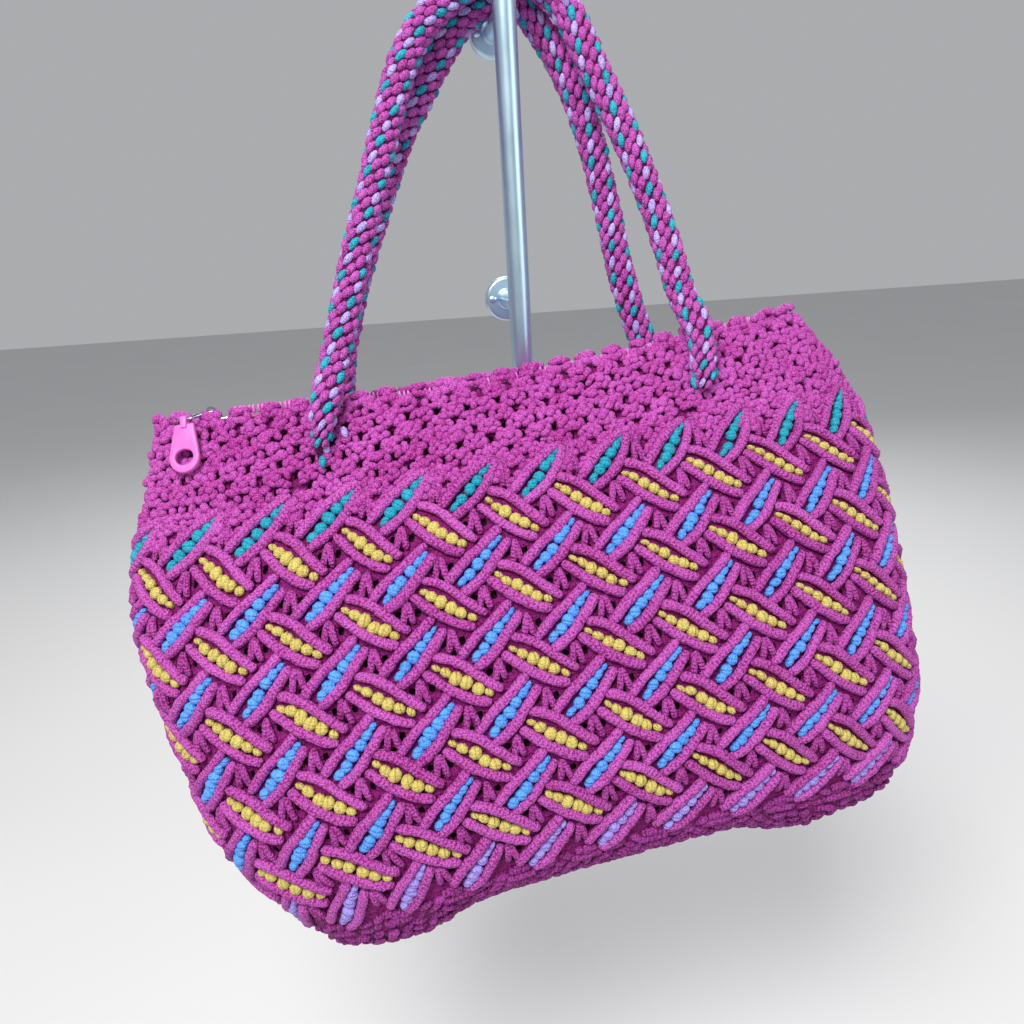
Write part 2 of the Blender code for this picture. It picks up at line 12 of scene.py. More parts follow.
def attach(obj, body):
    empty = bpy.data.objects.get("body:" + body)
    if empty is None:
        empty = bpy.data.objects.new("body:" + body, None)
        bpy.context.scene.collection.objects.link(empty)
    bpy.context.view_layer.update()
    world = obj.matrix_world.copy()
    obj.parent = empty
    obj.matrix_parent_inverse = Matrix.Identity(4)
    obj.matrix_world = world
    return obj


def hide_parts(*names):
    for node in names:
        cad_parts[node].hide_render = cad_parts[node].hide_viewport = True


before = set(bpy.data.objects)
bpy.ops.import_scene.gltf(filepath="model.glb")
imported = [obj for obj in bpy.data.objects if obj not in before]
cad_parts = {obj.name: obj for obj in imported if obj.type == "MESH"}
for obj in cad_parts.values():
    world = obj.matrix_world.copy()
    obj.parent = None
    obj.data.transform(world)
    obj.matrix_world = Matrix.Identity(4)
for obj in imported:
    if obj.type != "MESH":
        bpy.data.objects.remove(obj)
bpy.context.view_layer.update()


# Studio: a plain pale floor below the bag, soft light from above and in front of it, and the
# camera where the photograph was taken from, a little above the mouth of the bag.
yaw, pitch, roll = (math.radians(a) for a in (8.25, 16.95, 3.40))
ahead = Vector((math.sin(yaw) * math.cos(pitch), math.cos(yaw) * math.cos(pitch), -math.sin(pitch)))
level = Vector((math.cos(yaw), -math.sin(yaw), 0.0))
below = ahead.cross(level)
rightward = math.cos(roll) * level + math.sin(roll) * below
downward = -math.sin(roll) * level + math.cos(roll) * below
camera = bpy.data.objects.new("camera", bpy.data.cameras.new("camera"))
camera.matrix_world = Matrix((rightward, -downward, -ahead)).transposed().to_4x4()
camera.matrix_world.translation = (-0.072, -0.471, -0.1042)
camera.data.lens = 29.92
camera.data.sensor_width = 36.0
camera.data.clip_start = 0.01
bpy.context.scene.collection.objects.link(camera)
bpy.context.scene.camera = camera
bpy.context.scene.view_settings.view_transform = "Standard"

for name, spot, aim, size, power, tint in (
        ("key_light", (-0.50, -0.95, 0.95), (0, -0.1, -0.2), 0.7, 31.0, (1.0, 0.98, 0.95)),
        ("fill_light", (0.95, -0.95, 0.1), (0, -0.1, -0.25), 0.8, 3.2, (0.95, 0.97, 1.0)),
        ("back_light", (0.35, 1.2, 0.7), (0, -0.1, -0.2), 0.9, 14.0, (1.0, 1.0, 1.0))):
    lamp = bpy.data.lights.new(name, "AREA")
    lamp.size = size
    lamp.energy = power
    lamp.color = tint
    lamp_object = bpy.data.objects.new(name, lamp)
    lamp_object.matrix_world = (Matrix.Translation(spot)
                                @ (Vector(aim) - Vector(spot)).to_track_quat("-Z", "Y").to_matrix().to_4x4())
    bpy.context.scene.collection.objects.link(lamp_object)

world = bpy.data.worlds.new("studio")
world.use_nodes = True
world.node_tree.nodes["Background"].inputs["Color"].default_value = (0.88, 0.90, 0.93, 1.0)
world.node_tree.nodes["Background"].inputs["Strength"].default_value = 0.46
bpy.context.scene.world = world


class Strand:
    """A value on its way through a finish. Arithmetic on it adds Math nodes, node() any other."""

    def __init__(self, tree, socket=None):
        self.tree, self.socket = tree, socket

    def node(self, kind, settings=None, sockets=None, out=0):
        made = self.tree.nodes.new(kind)
        for key, value in (settings or {}).items():
            setattr(made, key, value)
        for key, value in (sockets or {}).items():
            if isinstance(value, Strand):
                self.tree.links.new(value.socket, made.inputs[key])
            else:
                made.inputs[key].default_value = value
        return Strand(self.tree, made.outputs[out])

    def other(self, out):
        return Strand(self.tree, self.socket.node.outputs[out])

    def math(self, how, *terms, clamp=False):
        return self.node("ShaderNodeMath", {"operation": how, "use_clamp": clamp}, dict(enumerate(terms)))

    def __add__(self, two):
        return self.math("ADD", self, two)

    def __sub__(self, two):
        return self.math("SUBTRACT", self, two)

    def __rsub__(self, one):
        return self.math("SUBTRACT", one, self)

    def __mul__(self, two):
        return self.math("MULTIPLY", self, two)

    def __truediv__(self, two):
        return self.math("DIVIDE", self, two)

    def __abs__(self):
        return self.math("ABSOLUTE", self)

    def ground(self):
        """Places on the piece itself."""
        return self.node("ShaderNodeTexCoord", out=3)

    def lay(self):
        """Where a place lies on its cord: across it, out of it and along it."""
        place = self.node("ShaderNodeAttribute", {"attribute_name": "lay"}, out=1)
        parts = self.node("ShaderNodeSeparateXYZ", {}, {0: place})
        return parts, parts.other(1), parts.other(2)

    def tone(self):
        """The shade of each knot or rib, lighter above 0 and darker below."""
        return self.node("ShaderNodeAttribute", {"attribute_name": "tone"}, out=2)

    def noise(self, where, scale, detail=2.0):
        return self.node("ShaderNodeTexNoise", {}, {"Vector": where, "Scale": scale, "Detail": detail})

    def cells(self, where, scale, uneven):
        return self.node("ShaderNodeTexVoronoi", {"feature": "F1"},
                         {"Vector": where, "Scale": scale, "Randomness": uneven})

    def bump(self, height, strength, distance):
        return self.node("ShaderNodeBump", {}, {"Strength": strength, "Distance": distance, "Height": height})


def new_finish(name, **fixed):
    """A material, the start of its nodes, and a call that links what varies to its shader."""
    finish = bpy.data.materials.new(name)
    finish.use_nodes = True
    shader = finish.node_tree.nodes["Principled BSDF"]
    for key, value in fixed.items():
        shader.inputs[key.replace("_", " ")].default_value = value
    start = Strand(finish.node_tree)

    def feed(socket, value):
        finish.node_tree.links.new(value.socket, shader.inputs[socket])

    return finish, start, feed


def mixed(share, one, two):
    """A colour between two others."""
    return share.node("ShaderNodeMix", {"data_type": "RGBA"},
                      {0: share, 6: (*one, 1.0), 7: (*two, 1.0)}, out=2)


floor_paint, start, feed = new_finish("floor_paint", Roughness=0.9)
feed("Base Color", mixed(start.noise(start.ground(), 3.0), (0.63, 0.63, 0.64), (0.67, 0.67, 0.67)))
FLOOR_HALF_SIZE, FLOOR_HEIGHT = 7.0, -0.62
bm = bmesh.new()
bmesh.ops.create_grid(bm, x_segments=2, y_segments=2, size=FLOOR_HALF_SIZE,
                      matrix=Matrix.Translation((0, 0, FLOOR_HEIGHT)))
mesh = bpy.data.meshes.new("floor")
bm.to_mesh(mesh)
bm.free()
mesh.materials.append(floor_paint)
floor = bpy.data.objects.new("floor", mesh)
bpy.context.scene.collection.objects.link(floor)


# Pull bar: a round tube of polished steel, its two ends closed and softly rounded. It stands off
# the door on two short posts, each welded to a round rosette with two screws.
chrome, start, feed = new_finish("chrome", Metallic=1.0, IOR=1.5)
ground = start.ground()
smear = start.noise(ground, 45.0, 3.0)
brushed = start.node("ShaderNodeMapping", {}, {"Vector": ground, "Scale": (900.0, 900.0, 30.0)})
brush = start.noise(brushed, 1.0, 1.0)
# Painted reflection: the steel's base colour is tinted strongly blue, standing in for the bluish light that the
# polished tube reflects.
feed("Base Color", mixed(smear, (0.48, 0.68, 0.82), (0.62, 0.80, 0.92)))
feed("Roughness", smear * 0.12 + brush * 0.08 + 0.24)
feed("Normal", start.bump(brush, 0.12, 0.0001))
MM = 0.001


def placed(mesh, finish, slot, *stands_for):
    """A mesh in its finish as a piece of the bag, in place of the plain solids that it stands for."""
    mesh.materials.append(finish)
    obj = bpy.data.objects.new(mesh.name, mesh)
    bpy.context.scene.collection.objects.link(obj)
    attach(obj, "root")
    if stands_for:
        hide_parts(*stands_for)
    return obj


def piece(bm, name, finish, slot, *stands_for, crease=35.0):
    """A piece made of a finished mesh, smooth but for its sharp edges."""
    mesh = bpy.data.meshes.new(name)
    bm.to_mesh(mesh)
    bm.free()
    mesh.polygons.foreach_set("use_smooth", [True] * len(mesh.polygons))
    mesh.set_sharp_from_angle(angle=math.radians(crease))
    return placed(mesh, finish, slot, *stands_for)


def corners(geom):
    return [part for part in geom if isinstance(part, bmesh.types.BMVert)]


def turned(profile, place, sides=64):
    """A solid turned on a lathe from (radius, height) steps in millimetres."""
    bm = bmesh.new()
    verts = [bm.verts.new((r * MM, 0.0, h * MM)) for r, h in profile]
    edges = [bm.edges.new(pair) for pair in zip(verts, verts[1:])]
    bmesh.ops.spin(bm, geom=verts + edges, cent=(0, 0, 0), axis=(0, 0, 1), angle=2 * math.pi,
                   steps=sides, use_merge=True)
    bmesh.ops.remove_doubles(bm, verts=bm.verts, dist=1e-6)
    bmesh.ops.recalc_face_normals(bm, faces=bm.faces)
    bmesh.ops.transform(bm, matrix=place, verts=bm.verts)
    return bm


def rounded_end(radius, edge, at, sign):
    """Profile steps of a rounded rim at one end of a turned piece, from the axis outwards."""
    steps = [(0.0, at)]
    for s in range(5):
        a = math.radians(90 - 22.5 * s)
        steps.append((radius - edge + edge * math.cos(a), at - sign * edge * (1 - math.sin(a))))
    return steps


BAR_RADIUS, BAR_EDGE, BAR_TO_DOOR, BAR_LOW, BAR_TOP = 5.4, 0.8, 43.2, -178.0, 50.0
POSTS_APART, ROSETTE_THICK, SCREW_OUT, SCREW_RADIUS, CROSS_DEEP = 128.0, 4.9, 7.9, 1.9, 0.6
low_end = rounded_end(BAR_RADIUS, BAR_EDGE, BAR_LOW, -1)
top_end = rounded_end(BAR_RADIUS, BAR_EDGE, BAR_TOP, 1)
along_bar = [(BAR_RADIUS, z) for z in range(-150, 50, 25)]
piece(turned(low_end + along_bar + top_end[::-1], Matrix.Translation((0, -BAR_TO_DOOR * MM, 0))),
      "bar_tube", chrome, "bar_metal", "pull_bar")
for label, z in (("upper", 0.0), ("lower", -POSTS_APART)):
    to_door = Matrix.Translation((0, 0, z * MM)) @ Matrix.Rotation(math.radians(90), 4, "X")
    # Post, with a small fillet of weld where it meets the rosette and the tube.
    post = [(0.0, 5.2), (5.6, 5.2), (5.1, 5.5), (4.7, 6.1), (4.5, 7.0), (4.5, 20.0), (4.5, 36.5),
            (4.6, 37.6), (4.4, 39.4), (0.0, 40.4)]
    piece(turned(post, to_door, 48), "bar_post_" + label, chrome, "bar_metal", "post_" + label)
    disc = [(0.0, 0.0), (11.5, 0.0), (11.5, 3.6), (11.36, 4.1), (11.0, 4.6), (10.5, 4.87), (10.0, 4.95),
            (0.0, 5.0)]
    piece(turned(disc, to_door), "bar_rosette_" + label, chrome, "bar_metal", "rosette_" + label)
    for side, x, turn in (("left", -SCREW_OUT, 25), ("right", SCREW_OUT, 52)):
        # Screw: a low domed head pressed with a cross.
        bm = bmesh.new()
        bmesh.ops.create_grid(bm, x_segments=9, y_segments=9, size=1.0)
        cross = []
        for f in bm.faces:
            near, far = sorted(abs(c) for c in f.calc_center_median()[:2])
            if near < 0.12 and far < 0.62:
                cross.append(f)
        sunk = set(corners(bmesh.ops.extrude_face_region(bm, geom=cross)["geom"]))
        bmesh.ops.delete(bm, geom=cross, context="FACES")
        rim = [e for e in bm.edges if e.is_boundary]
        skirt = set(corners(bmesh.ops.extrude_edge_only(bm, edges=rim)["geom"]))
        for v in bm.verts:
            u, w = v.co.x, v.co.y
            reach = max(abs(u), abs(w)) / max(math.hypot(u, w), 1e-9)
            dome = 0.0 if v in skirt else 0.95 - 0.55 * max(abs(u), abs(w)) ** 2.4
            v.co = Vector((u * reach * SCREW_RADIUS, w * reach * SCREW_RADIUS,
                           dome - (CROSS_DEEP if v in sunk else 0.0)))
        bmesh.ops.recalc_face_normals(bm, faces=bm.faces)
        bmesh.ops.scale(bm, vec=(MM, MM, MM), verts=bm.verts)
        on_rosette = (Matrix.Translation((x * MM, 0, ROSETTE_THICK * MM))
                      @ Matrix.Rotation(math.radians(turn), 4, "Z"))
        bmesh.ops.transform(bm, matrix=to_door @ on_rosette, verts=bm.verts)
        piece(bm, "bar_screw_%s_%s" % (label, side), chrome, "bar_metal", "screw_%s_%s" % (label, side))


# Wall of the bag: one cloth of knotted pink nylon cord, as wide as the four walls and closed at
# the foot. Behind the raised knots lies a thin skin of cords, with small open windows in it.
BAG_AT = (-11.2, -56.0, -202.3)
BAG_TURN = (-6.16, -4.05, 1.85)
CLIMB = 0.028
# Height, half width, half depth, squareness, shift to the right, rise of the two ends.
WALL = [
    (44.0, 154.0, 18.0, 2.00, -5.0, 8.0),
    (22.0, 165.0, 26.0, 2.00, -2.5, 1.0),
    (0.0, 176.3, 32.0, 2.00, -2.3, -4.0),
    (-29.0, 179.3, 40.5, 2.30, -3.5, -6.5),
    (-58.0, 178.3, 45.5, 2.65, -2.8, -9.0),
    (-87.0, 174.5, 49.5, 2.95, -0.4, -11.5),
    (-118.0, 169.3, 52.5, 3.30, 2.2, -13.0),
    (-151.0, 159.0, 51.0, 3.60, 5.6, -12.0),
    (-178.0, 147.5, 46.5, 3.60, 7.6, -6.0),
    (-189.0, 134.0, 40.0, 3.20, 7.0, -4.0),
    (-194.0, 114.0, 30.0, 2.80, 6.0, -3.0),
    (-208.0, 100.0, 16.0, 2.70, 6.0, -3.0),
    (-222.0, 86.0, 2.0, 2.60, 6.0, -3.0),
]
# Height, half width and half depth of the base's rim. Rows written lower than it lie on the flat
# base, drawn in towards its middle.
BASE = (-194.0, 114.0, 30.0)
LEAVES, LEAF_ROWS = 24, 11
HALVES = 2 * LEAVES                    # the net's columns: leaves of even and of odd rows in turn
PLACES = 1440                          # how many places round the bag its wall is worked out at
FIRST_LEAF, ROW_DRIFT = 0.048, -0.00055
HALF_PITCH, ROW_STEP = 16.2, 15.0      # size of the net in which its knots are laid out, in mm
ROW_HIGH, ROW_GROWS = 14.2, 0.09       # rows on the bag get a little higher towards its foot
bag_place = np.array(Matrix.Translation(BAG_AT)
                     @ Euler([math.radians(a) for a in BAG_TURN], "XYZ").to_matrix().to_4x4())


def glide(table, at):
    """Smooth value of every column of a table at one place along its first column."""
    rows = sorted(table)
    at = min(max(at, rows[0][0]), rows[-1][0])
    k = 0
    while k < len(rows) - 2 and at > rows[k + 1][0]:
        k += 1
    a, b = rows[k], rows[k + 1]
    before, after = rows[max(k - 1, 0)], rows[min(k + 2, len(rows) - 1)]
    span = b[0] - a[0]
    t = (at - a[0]) / span
    out = []
    for c in range(1, len(a)):
        slope_a = (b[c] - before[c]) / (b[0] - before[0]) * span
        slope_b = (after[c] - a[c]) / (after[0] - a[0]) * span
        out.append((2 * t**3 - 3 * t**2 + 1) * a[c] + (t**3 - 2 * t**2 + t) * slope_a
                   + (3 * t**2 - 2 * t**3) * b[c] + (t**3 - t**2) * slope_b)
    return out


def to_world(points):
    """Bag millimetres to metres in the door's frame."""
    return (points @ bag_place[:3, :3].T + bag_place[:3, 3]) * MM


def ease(t):
    """A soft step from 0 to 1."""
    t = np.clip(t, 0.0, 1.0)
    return t * t * (3 - 2 * t)


# The wall's face at every millimetre of height and all round it, and how it faces there.
wall_heights = np.arange(-222.0, 45.0)
wall_net = np.zeros((len(wall_heights), PLACES + 1, 3))
for k, height in enumerate(wall_heights):
    half_w, half_d, power, shift, rise = glide(WALL, height)
    a = np.linspace(0, 2 * math.pi, PLACES + 1)
    x = -half_w * np.sign(np.cos(a)) * np.abs(np.cos(a)) ** (2 / power)
    y = -half_d * np.sign(np.sin(a)) * np.abs(np.sin(a)) ** (2 / power)
    walk = np.concatenate([[0.0], np.cumsum(np.hypot(np.diff(x), np.diff(y)))])
    even = np.linspace(0, walk[-1], PLACES + 1)
    x, y = np.interp(even, walk, x), np.interp(even, walk, y)
    base_w, base_d = BASE[1:] if height < BASE[0] else (half_w, half_d)
    u, front = x / base_w, ease(0.5 - y / base_d)
    # The filled bag sags at the left and lies drawn up a little along the front of its foot, and
    # the closed mouth holds the back of the rim and the rim's two ends down.
    left = np.clip(-u, 0, 1) ** 2
    low, high = ease((-105 - height) / 65), ease((height - 16) / 24)
    inward = left * (3.5 * ease((-10 - height) / 70) + 10.9 * low)
    drawn_up = 8.8 * front * ease((-156 - height) / 30) * ease((u + 0.73) / 0.3) * ease((0.67 - u) / 0.3)
    held_down = high * (3.0 * (1 - front) * (1 - u * u)
                        + 2.0 * ease((-u - 0.6) / 0.3) + 3.5 * ease((u - 0.6) / 0.3))
    lifted = drawn_up - 5.0 * left * low - held_down
    wall_net[k] = np.stack([x + shift + inward, y - base_d,
                            max(height, BASE[0]) + rise * u ** 2 + CLIMB * x + lifted], -1)
wall_net = to_world(wall_net)
ringed = np.concatenate([wall_net[:, -3:-1], wall_net, wall_net[:, 1:3]], 1)
wall_right = np.gradient(ringed, axis=1)[:, 2:-2]
wall_right /= np.linalg.norm(wall_right, axis=2, keepdims=True)
wall_out = np.cross(wall_right, np.gradient(wall_net, axis=0))
wall_out /= np.linalg.norm(wall_out, axis=2, keepdims=True)


def sample(table, turn, height):
    """A value of the wall's tables between their places: turn goes once round the bag, height is in mm."""
    across = (turn % 1.0) * PLACES
    up = np.clip(height - wall_heights[0], 0, len(wall_heights) - 1.001)
    j, i = np.minimum(across.astype(int), PLACES - 1), up.astype(int)
    u, v = (across - j)[..., None], (up - i)[..., None]
    return ((table[i, j] * (1 - u) + table[i, j + 1] * u) * (1 - v)
            + (table[i + 1, j] * (1 - u) + table[i + 1, j + 1] * u) * v)


def on_wall(turn, height, lift):
    """Places in metres, lift millimetres outside the wall's face, and the way out of the wall there."""
    turn, height, lift = np.broadcast_arrays(turn, height, lift)
    out = sample(wall_out, turn, height)
    out /= np.linalg.norm(out, axis=-1, keepdims=True)
    return sample(wall_net, turn, height) + out * lift[..., None] * MM, out


def row_height(row):
    return -(ROW_HIGH * row + ROW_GROWS * row * row)


def row_at(height):
    return (np.sqrt(ROW_HIGH**2 - 4 * ROW_GROWS * height) - ROW_HIGH) / (2 * ROW_GROWS)


def turn_at(half, row):
    """How far round a column of the net is. The rows shift a little against each other."""
    return FIRST_LEAF + ROW_DRIFT * row + half / HALVES


def cord_finish(name, lit, shaded, wrap=2.0, slant=1.0, relief=0.0006, stitch=950.0, ringed=0.25):
    """Satin nylon cord hitched tight: a speckle of small round hitches, over faint slanted wraps. Its colour
    runs from a lit to a shaded tone, with painted shade between the hitches and in the grooves between the
    wraps.
    """
    finish, start, feed = new_finish(name, Sheen_Weight=0.03, Sheen_Roughness=0.4, Specular_IOR_Level=0.22)
    across, out, along = start.lay()
    ground = start.ground()
    round_it = start.math("ARCTAN2", out, across) / (2 * math.pi)
    wraps = abs(start.math("SINE", (along / wrap + round_it * slant) * math.pi))
    hitch = 1.0 - start.cells(ground, stitch, 0.75) * 1.35
    grain = start.noise(ground, 2100.0, 1.0) - 0.5
    worn = start.noise(ground, 60.0) - 0.5
    # Painted shade: the colour darkens between the hitches, in the grooves of the wraps, and with each knot's
    # or rib's shade.
    own_light = hitch + wraps * ringed + grain * 0.9 + 0.08 - 0.12 * ringed
    light = start.math("ADD", own_light, start.tone() * 0.3 + worn * 0.4, clamp=True)
    feed("Base Color", mixed(light, shaded, lit))
    feed("Roughness", 0.74 - light * 0.2)
    feed("Normal", start.bump(hitch + wraps * ringed * 2.0 + grain * 0.4, 1.0, relief))
    return finish


# The skin is the same pink cord as the ribs, given darker colours: painted shade for the recess behind the
# raised knots.
skin_cord = cord_finish("skin_cord", (0.30, 0.008, 0.20), (0.075, 0.0005, 0.04), wrap=3.4, slant=0.0)
SKIN_THICK = 2.4
# The skin is a grid, seven times as fine as the net, down to a slit along the middle of the base.
FINER = 7
COLUMNS = HALVES * FINER
heights = [41.0 - 2.45 * k for k in range(15)]
heights += [float(row_height(-0.3 + k / FINER)) for k in range(78)]
heights += [-166.0, -172.0, -178.0, -183.0, -187.5, -191.0, -193.9, -199.0, -205.0, -211.0, -217.0, -221.5]
bm = bmesh.new()
bmesh.ops.create_grid(bm, x_segments=COLUMNS, y_segments=len(heights) - 1, size=1.0)
for v in bm.verts:
    column = round((v.co.x + 1) / 2 * COLUMNS)
    level_no = round((1 - v.co.y) / 2 * (len(heights) - 1))
    v.co = Vector((column / FINER * HALF_PITCH, heights[level_no], 0.0))
# Openings of a window, right and up from its middle, with their half width and half height.
WINDOW = ((-4.4, 1.0, 1.7, 1.8), (3.7, 0.7, 1.5, 2.3), (-0.6, -3.6, 1.4, 1.4))
openings = [(half + dx / HALF_PITCH, row_height(row - dy / ROW_STEP), w, h)
            for row in range(LEAF_ROWS) for half in range(1 - row % 2, HALVES, 2) for dx, dy, w, h in WINDOW]
# Openings between the knots of the band, but for its close right end.
openings += [(half + shift, height, 1.8, 1.9)
             for height, shift in ((33.2, 0.25), (23.2, 0.25), (13.2, 0.25), (28.2, 0.75), (18.2, 0.75))
             for half in range(HALVES) if not 15.2 <= half + shift <= 24.0]
# The faces are sorted into bins, so that those in an opening are found quickly.
BIN_WIDE, BIN_HIGH = HALF_PITCH / 2, 8.0
bins = {}
for f in bm.faces:
    c = f.calc_center_median()
    bins.setdefault((int(c.x // BIN_WIDE), int(c.y // BIN_HIGH)), []).append((f, c))
gone, snapped = set(), {}
for half, height, w, h in openings:
    x = (half * HALF_PITCH) % (HALVES * HALF_PITCH)
    near = [fc for i in (-1, 0, 1) for j in (-1, 0, 1)
            for fc in bins.get((int(x // BIN_WIDE) + i, int(height // BIN_HIGH) + j), [])]
    reach = [(math.hypot((c.x - x) / w, (c.y - height) / h), f) for f, c in near]
    cut = [f for r, f in reach if r < 0.95] or [min(reach, key=lambda rf: rf[0])[1]]
    for f in cut:
        gone.add(f)
        for v in f.verts:
            snapped.setdefault(v, []).append((x, height, w, h))
# The corners left round an opening are moved on to its oval.
for v, marks in snapped.items():
    if len(set(marks)) == 1 and not all(f in gone for f in v.link_faces):
        x, height, w, h = marks[0]
        r = math.hypot((v.co.x - x) / w, (v.co.y - height) / h)
        if 0.3 < r < 3.0 and 0.01 < v.co.x < HALVES * HALF_PITCH - 0.01:
            v.co = Vector((x + (v.co.x - x) / r, height + (v.co.y - height) / r, 0.0))
bmesh.ops.delete(bm, geom=list(gone), context="FACES")
flat_spots = np.array([v.co[:] for v in bm.verts])
lift = np.interp(flat_spots[:, 1], [-194, -178, -166, -155, 4, 12, 44],
                 [-2.2, -2.2, -2.6, -3.9, -3.9, -4.0, -4.0])
spots, _ = on_wall(turn_at(flat_spots[:, 0] / HALF_PITCH, row_at(flat_spots[:, 1])), flat_spots[:, 1], lift)
lay_layer = bm.verts.layers.float_vector.new("lay")
for v, spot, flat in zip(bm.verts, spots, flat_spots):
    v.co = spot
    v[lay_layer] = (1.0, 0.0, flat[1])
bmesh.ops.remove_doubles(bm, verts=bm.verts, dist=1e-5)
slit = [e for e in bm.edges if e.is_boundary and all(v[lay_layer].z < heights[-1] + 0.1 for v in e.verts)]
bmesh.ops.edgeloop_fill(bm, edges=slit)
bmesh.ops.recalc_face_normals(bm, faces=bm.faces)
FRONT_BELLY = -0.13                    # faces before this depth, in metres, are the front's and look forward
if sum((f.normal.y for f in bm.faces if f.calc_center_median().y < FRONT_BELLY), 0.0) > 0:
    bmesh.ops.reverse_faces(bm, faces=bm.faces)
bag_skin = piece(bm, "bag_skin", skin_cord, "pink_cord", "bag_body", crease=60.0)


def thicken(cloth, thickness):
    """Make a sheet as thick as given in mm, towards its inner side."""
    solid = cloth.modifiers.new("thickness", "SOLIDIFY")
    solid.thickness = thickness * MM
    solid.offset = -1.0


thicken(bag_skin, SKIN_THICK)


# Lining: a thin sheet hung inside the rim, close behind the cords down to the foot. Its near-black colour is
# painted shade for the dark inside of the bag, so that the windows show dark.
lining_painted_shade, start, feed = new_finish("lining_painted_shade", Roughness=0.9)
threads = start.cells(start.ground(), 1500.0, 0.4)
feed("Base Color", mixed(threads, (0.030, 0.002, 0.018), (0.012, 0.0005, 0.007)))
feed("Normal", start.bump(threads, 0.4, 0.0002))
LINING_INSET, LINING_TOP, LINING_FOOT = 7.9, 38.0, -176.0
drop = LINING_TOP - LINING_FOOT
bm = bmesh.new()
bmesh.ops.create_grid(bm, x_segments=192, y_segments=50, size=1.0)
flat_spots = np.array([v.co[:] for v in bm.verts])
turn = (flat_spots[:, 0] + 1) / 2
spots, _ = on_wall(np.minimum(turn, 0.999999), LINING_FOOT + (flat_spots[:, 1] + 1) / 2 * drop, -LINING_INSET)
for v, spot in zip(bm.verts, spots):
    v.co = spot
bmesh.ops.remove_doubles(bm, verts=bm.verts, dist=2e-5)
girth = sum(f.calc_area() for f in bm.faces) / (drop * MM)
lining = piece(bm, "lining", lining_painted_shade, "pink_cord")


# Leaf ribs: each leaf is framed by two firm ribs of pink cord, double half hitches packed tight on
# a carrying cord. Leaves lean right in even rows and left in odd rows, eleven rows of 24 in all.
def shape_of(bm):
    """Corners and faces of a small shape, to be copied many times."""
    bm.verts.index_update()
    shape = {"ball": np.array([v.co[:] for v in bm.verts]),
             "loops": np.array([v.index for f in bm.faces for v in f.verts]),
             "sizes": np.array([len(f.verts) for f in bm.faces])}
    bm.free()
    return shape


def rod_shape(rings, sides):
    """A closed rod, with how each of its corners lies along it and round it."""
    bm = bmesh.new()
    bmesh.ops.create_uvsphere(bm, u_segments=sides, v_segments=rings, radius=1.0)
    shape = shape_of(bm)
    x, y, z = shape["ball"].T
    shape["ring"] = np.rint(rings * (1 - np.arccos(np.clip(z, -1, 1)) / math.pi)).astype(int)
    shape["angle"] = np.arctan2(y, x)
    return shape


def lay_many(name, shape, spots, lay, tone, finish, slot, *stands_for):
    """One piece of many copies of a shape. spots holds every point of every copy, in metres."""
    copies, each = spots.shape[:2]
    loops = (shape["loops"] + each * np.arange(copies)[:, None]).ravel()
    sizes = np.tile(shape["sizes"], copies)
    mesh = bpy.data.meshes.new(name)
    mesh.vertices.add(copies * each)
    mesh.vertices.foreach_set("co", spots.astype(np.float32).ravel())
    mesh.loops.add(len(loops))
    mesh.loops.foreach_set("vertex_index", loops.astype(np.int32))
    mesh.polygons.add(len(sizes))
    mesh.polygons.foreach_set("loop_start", np.concatenate([[0], np.cumsum(sizes)[:-1]]).astype(np.int32))
    mesh.polygons.foreach_set("use_smooth", np.ones(len(sizes), dtype=bool))
    mesh.update(calc_edges=True)
    tones = np.broadcast_to(np.reshape(tone, (copies, -1)), (copies, each))
    for layer, kind, key, values in (("lay", "FLOAT_VECTOR", "vector", lay), ("tone", "FLOAT", "value", tones)):
        mesh.attributes.new(layer, kind, "POINT").data.foreach_set(key, values.astype(np.float32).ravel())
    return placed(mesh, finish, slot, *stands_for)


def rods(shape, line, out, wide, high):
    """Points of many rods. Each ring has its middle, its upward way and its width and height in mm."""
    ahead = np.gradient(line, axis=1)
    ahead /= np.linalg.norm(ahead, axis=2, keepdims=True)
    out = out - ahead * (out * ahead).sum(2, keepdims=True)
    out /= np.linalg.norm(out, axis=2, keepdims=True)
    side = np.cross(out, ahead)
    steps = np.linalg.norm(np.diff(line, axis=1), axis=2)
    walk = np.concatenate([np.zeros((len(line), 1)), np.cumsum(steps, 1)], 1) / MM
    ring, angle = shape["ring"], shape["angle"]
    wide, high = (np.broadcast_to(w, line.shape[:2])[:, ring] for w in (wide, high))
    c, s = np.cos(angle)[None], np.sin(angle)[None]
    spots = (line[:, ring] + side[:, ring] * (c * wide * MM)[..., None]
             + out[:, ring] * (s * high * MM)[..., None])
    lay = np.stack([np.broadcast_to(c, wide.shape), np.broadcast_to(s, wide.shape), walk[:, ring]], -1)
    return spots, lay


def smooth_line(points, share):
    """A gentle curve through a few points, at the given shares of its length."""
    points = np.array(points)
    walk = np.concatenate([[0.0], np.cumsum(np.linalg.norm(np.diff(points, axis=0), axis=1))])
    return np.stack([np.polyval(np.polyfit(walk / walk[-1], column, 3), share) for column in points.T], -1)


rib_cord = cord_finish("rib_cord", (0.585, 0.122, 0.545), (0.24, 0.002, 0.14), wrap=1.9)
RIB_RADIUS = 2.2
# Upper and lower rib of a leaf in even and in odd rows, right and up from its middle.
RIBS = {
    0: ([(-15.3, -6.4), (-10.5, -2.2), (-4, 2.6), (1.5, 6.3), (6.5, 9.9), (10.2, 12.4)],
        [(-9.8, -10.6), (-5.5, -8.9), (-1, -6.4), (4, -2.9), (9, 1.9), (13.6, 6.2)]),
    1: ([(-9.6, 12), (-4.5, 10), (1, 7.2), (5.5, 3.2), (10.5, -1.8), (15.6, -6)],
        [(-14.3, 7.6), (-9.8, 3.4), (-5.4, -1), (-0.5, -5.6), (5, -8.8), (10.4, -10.8)]),
}
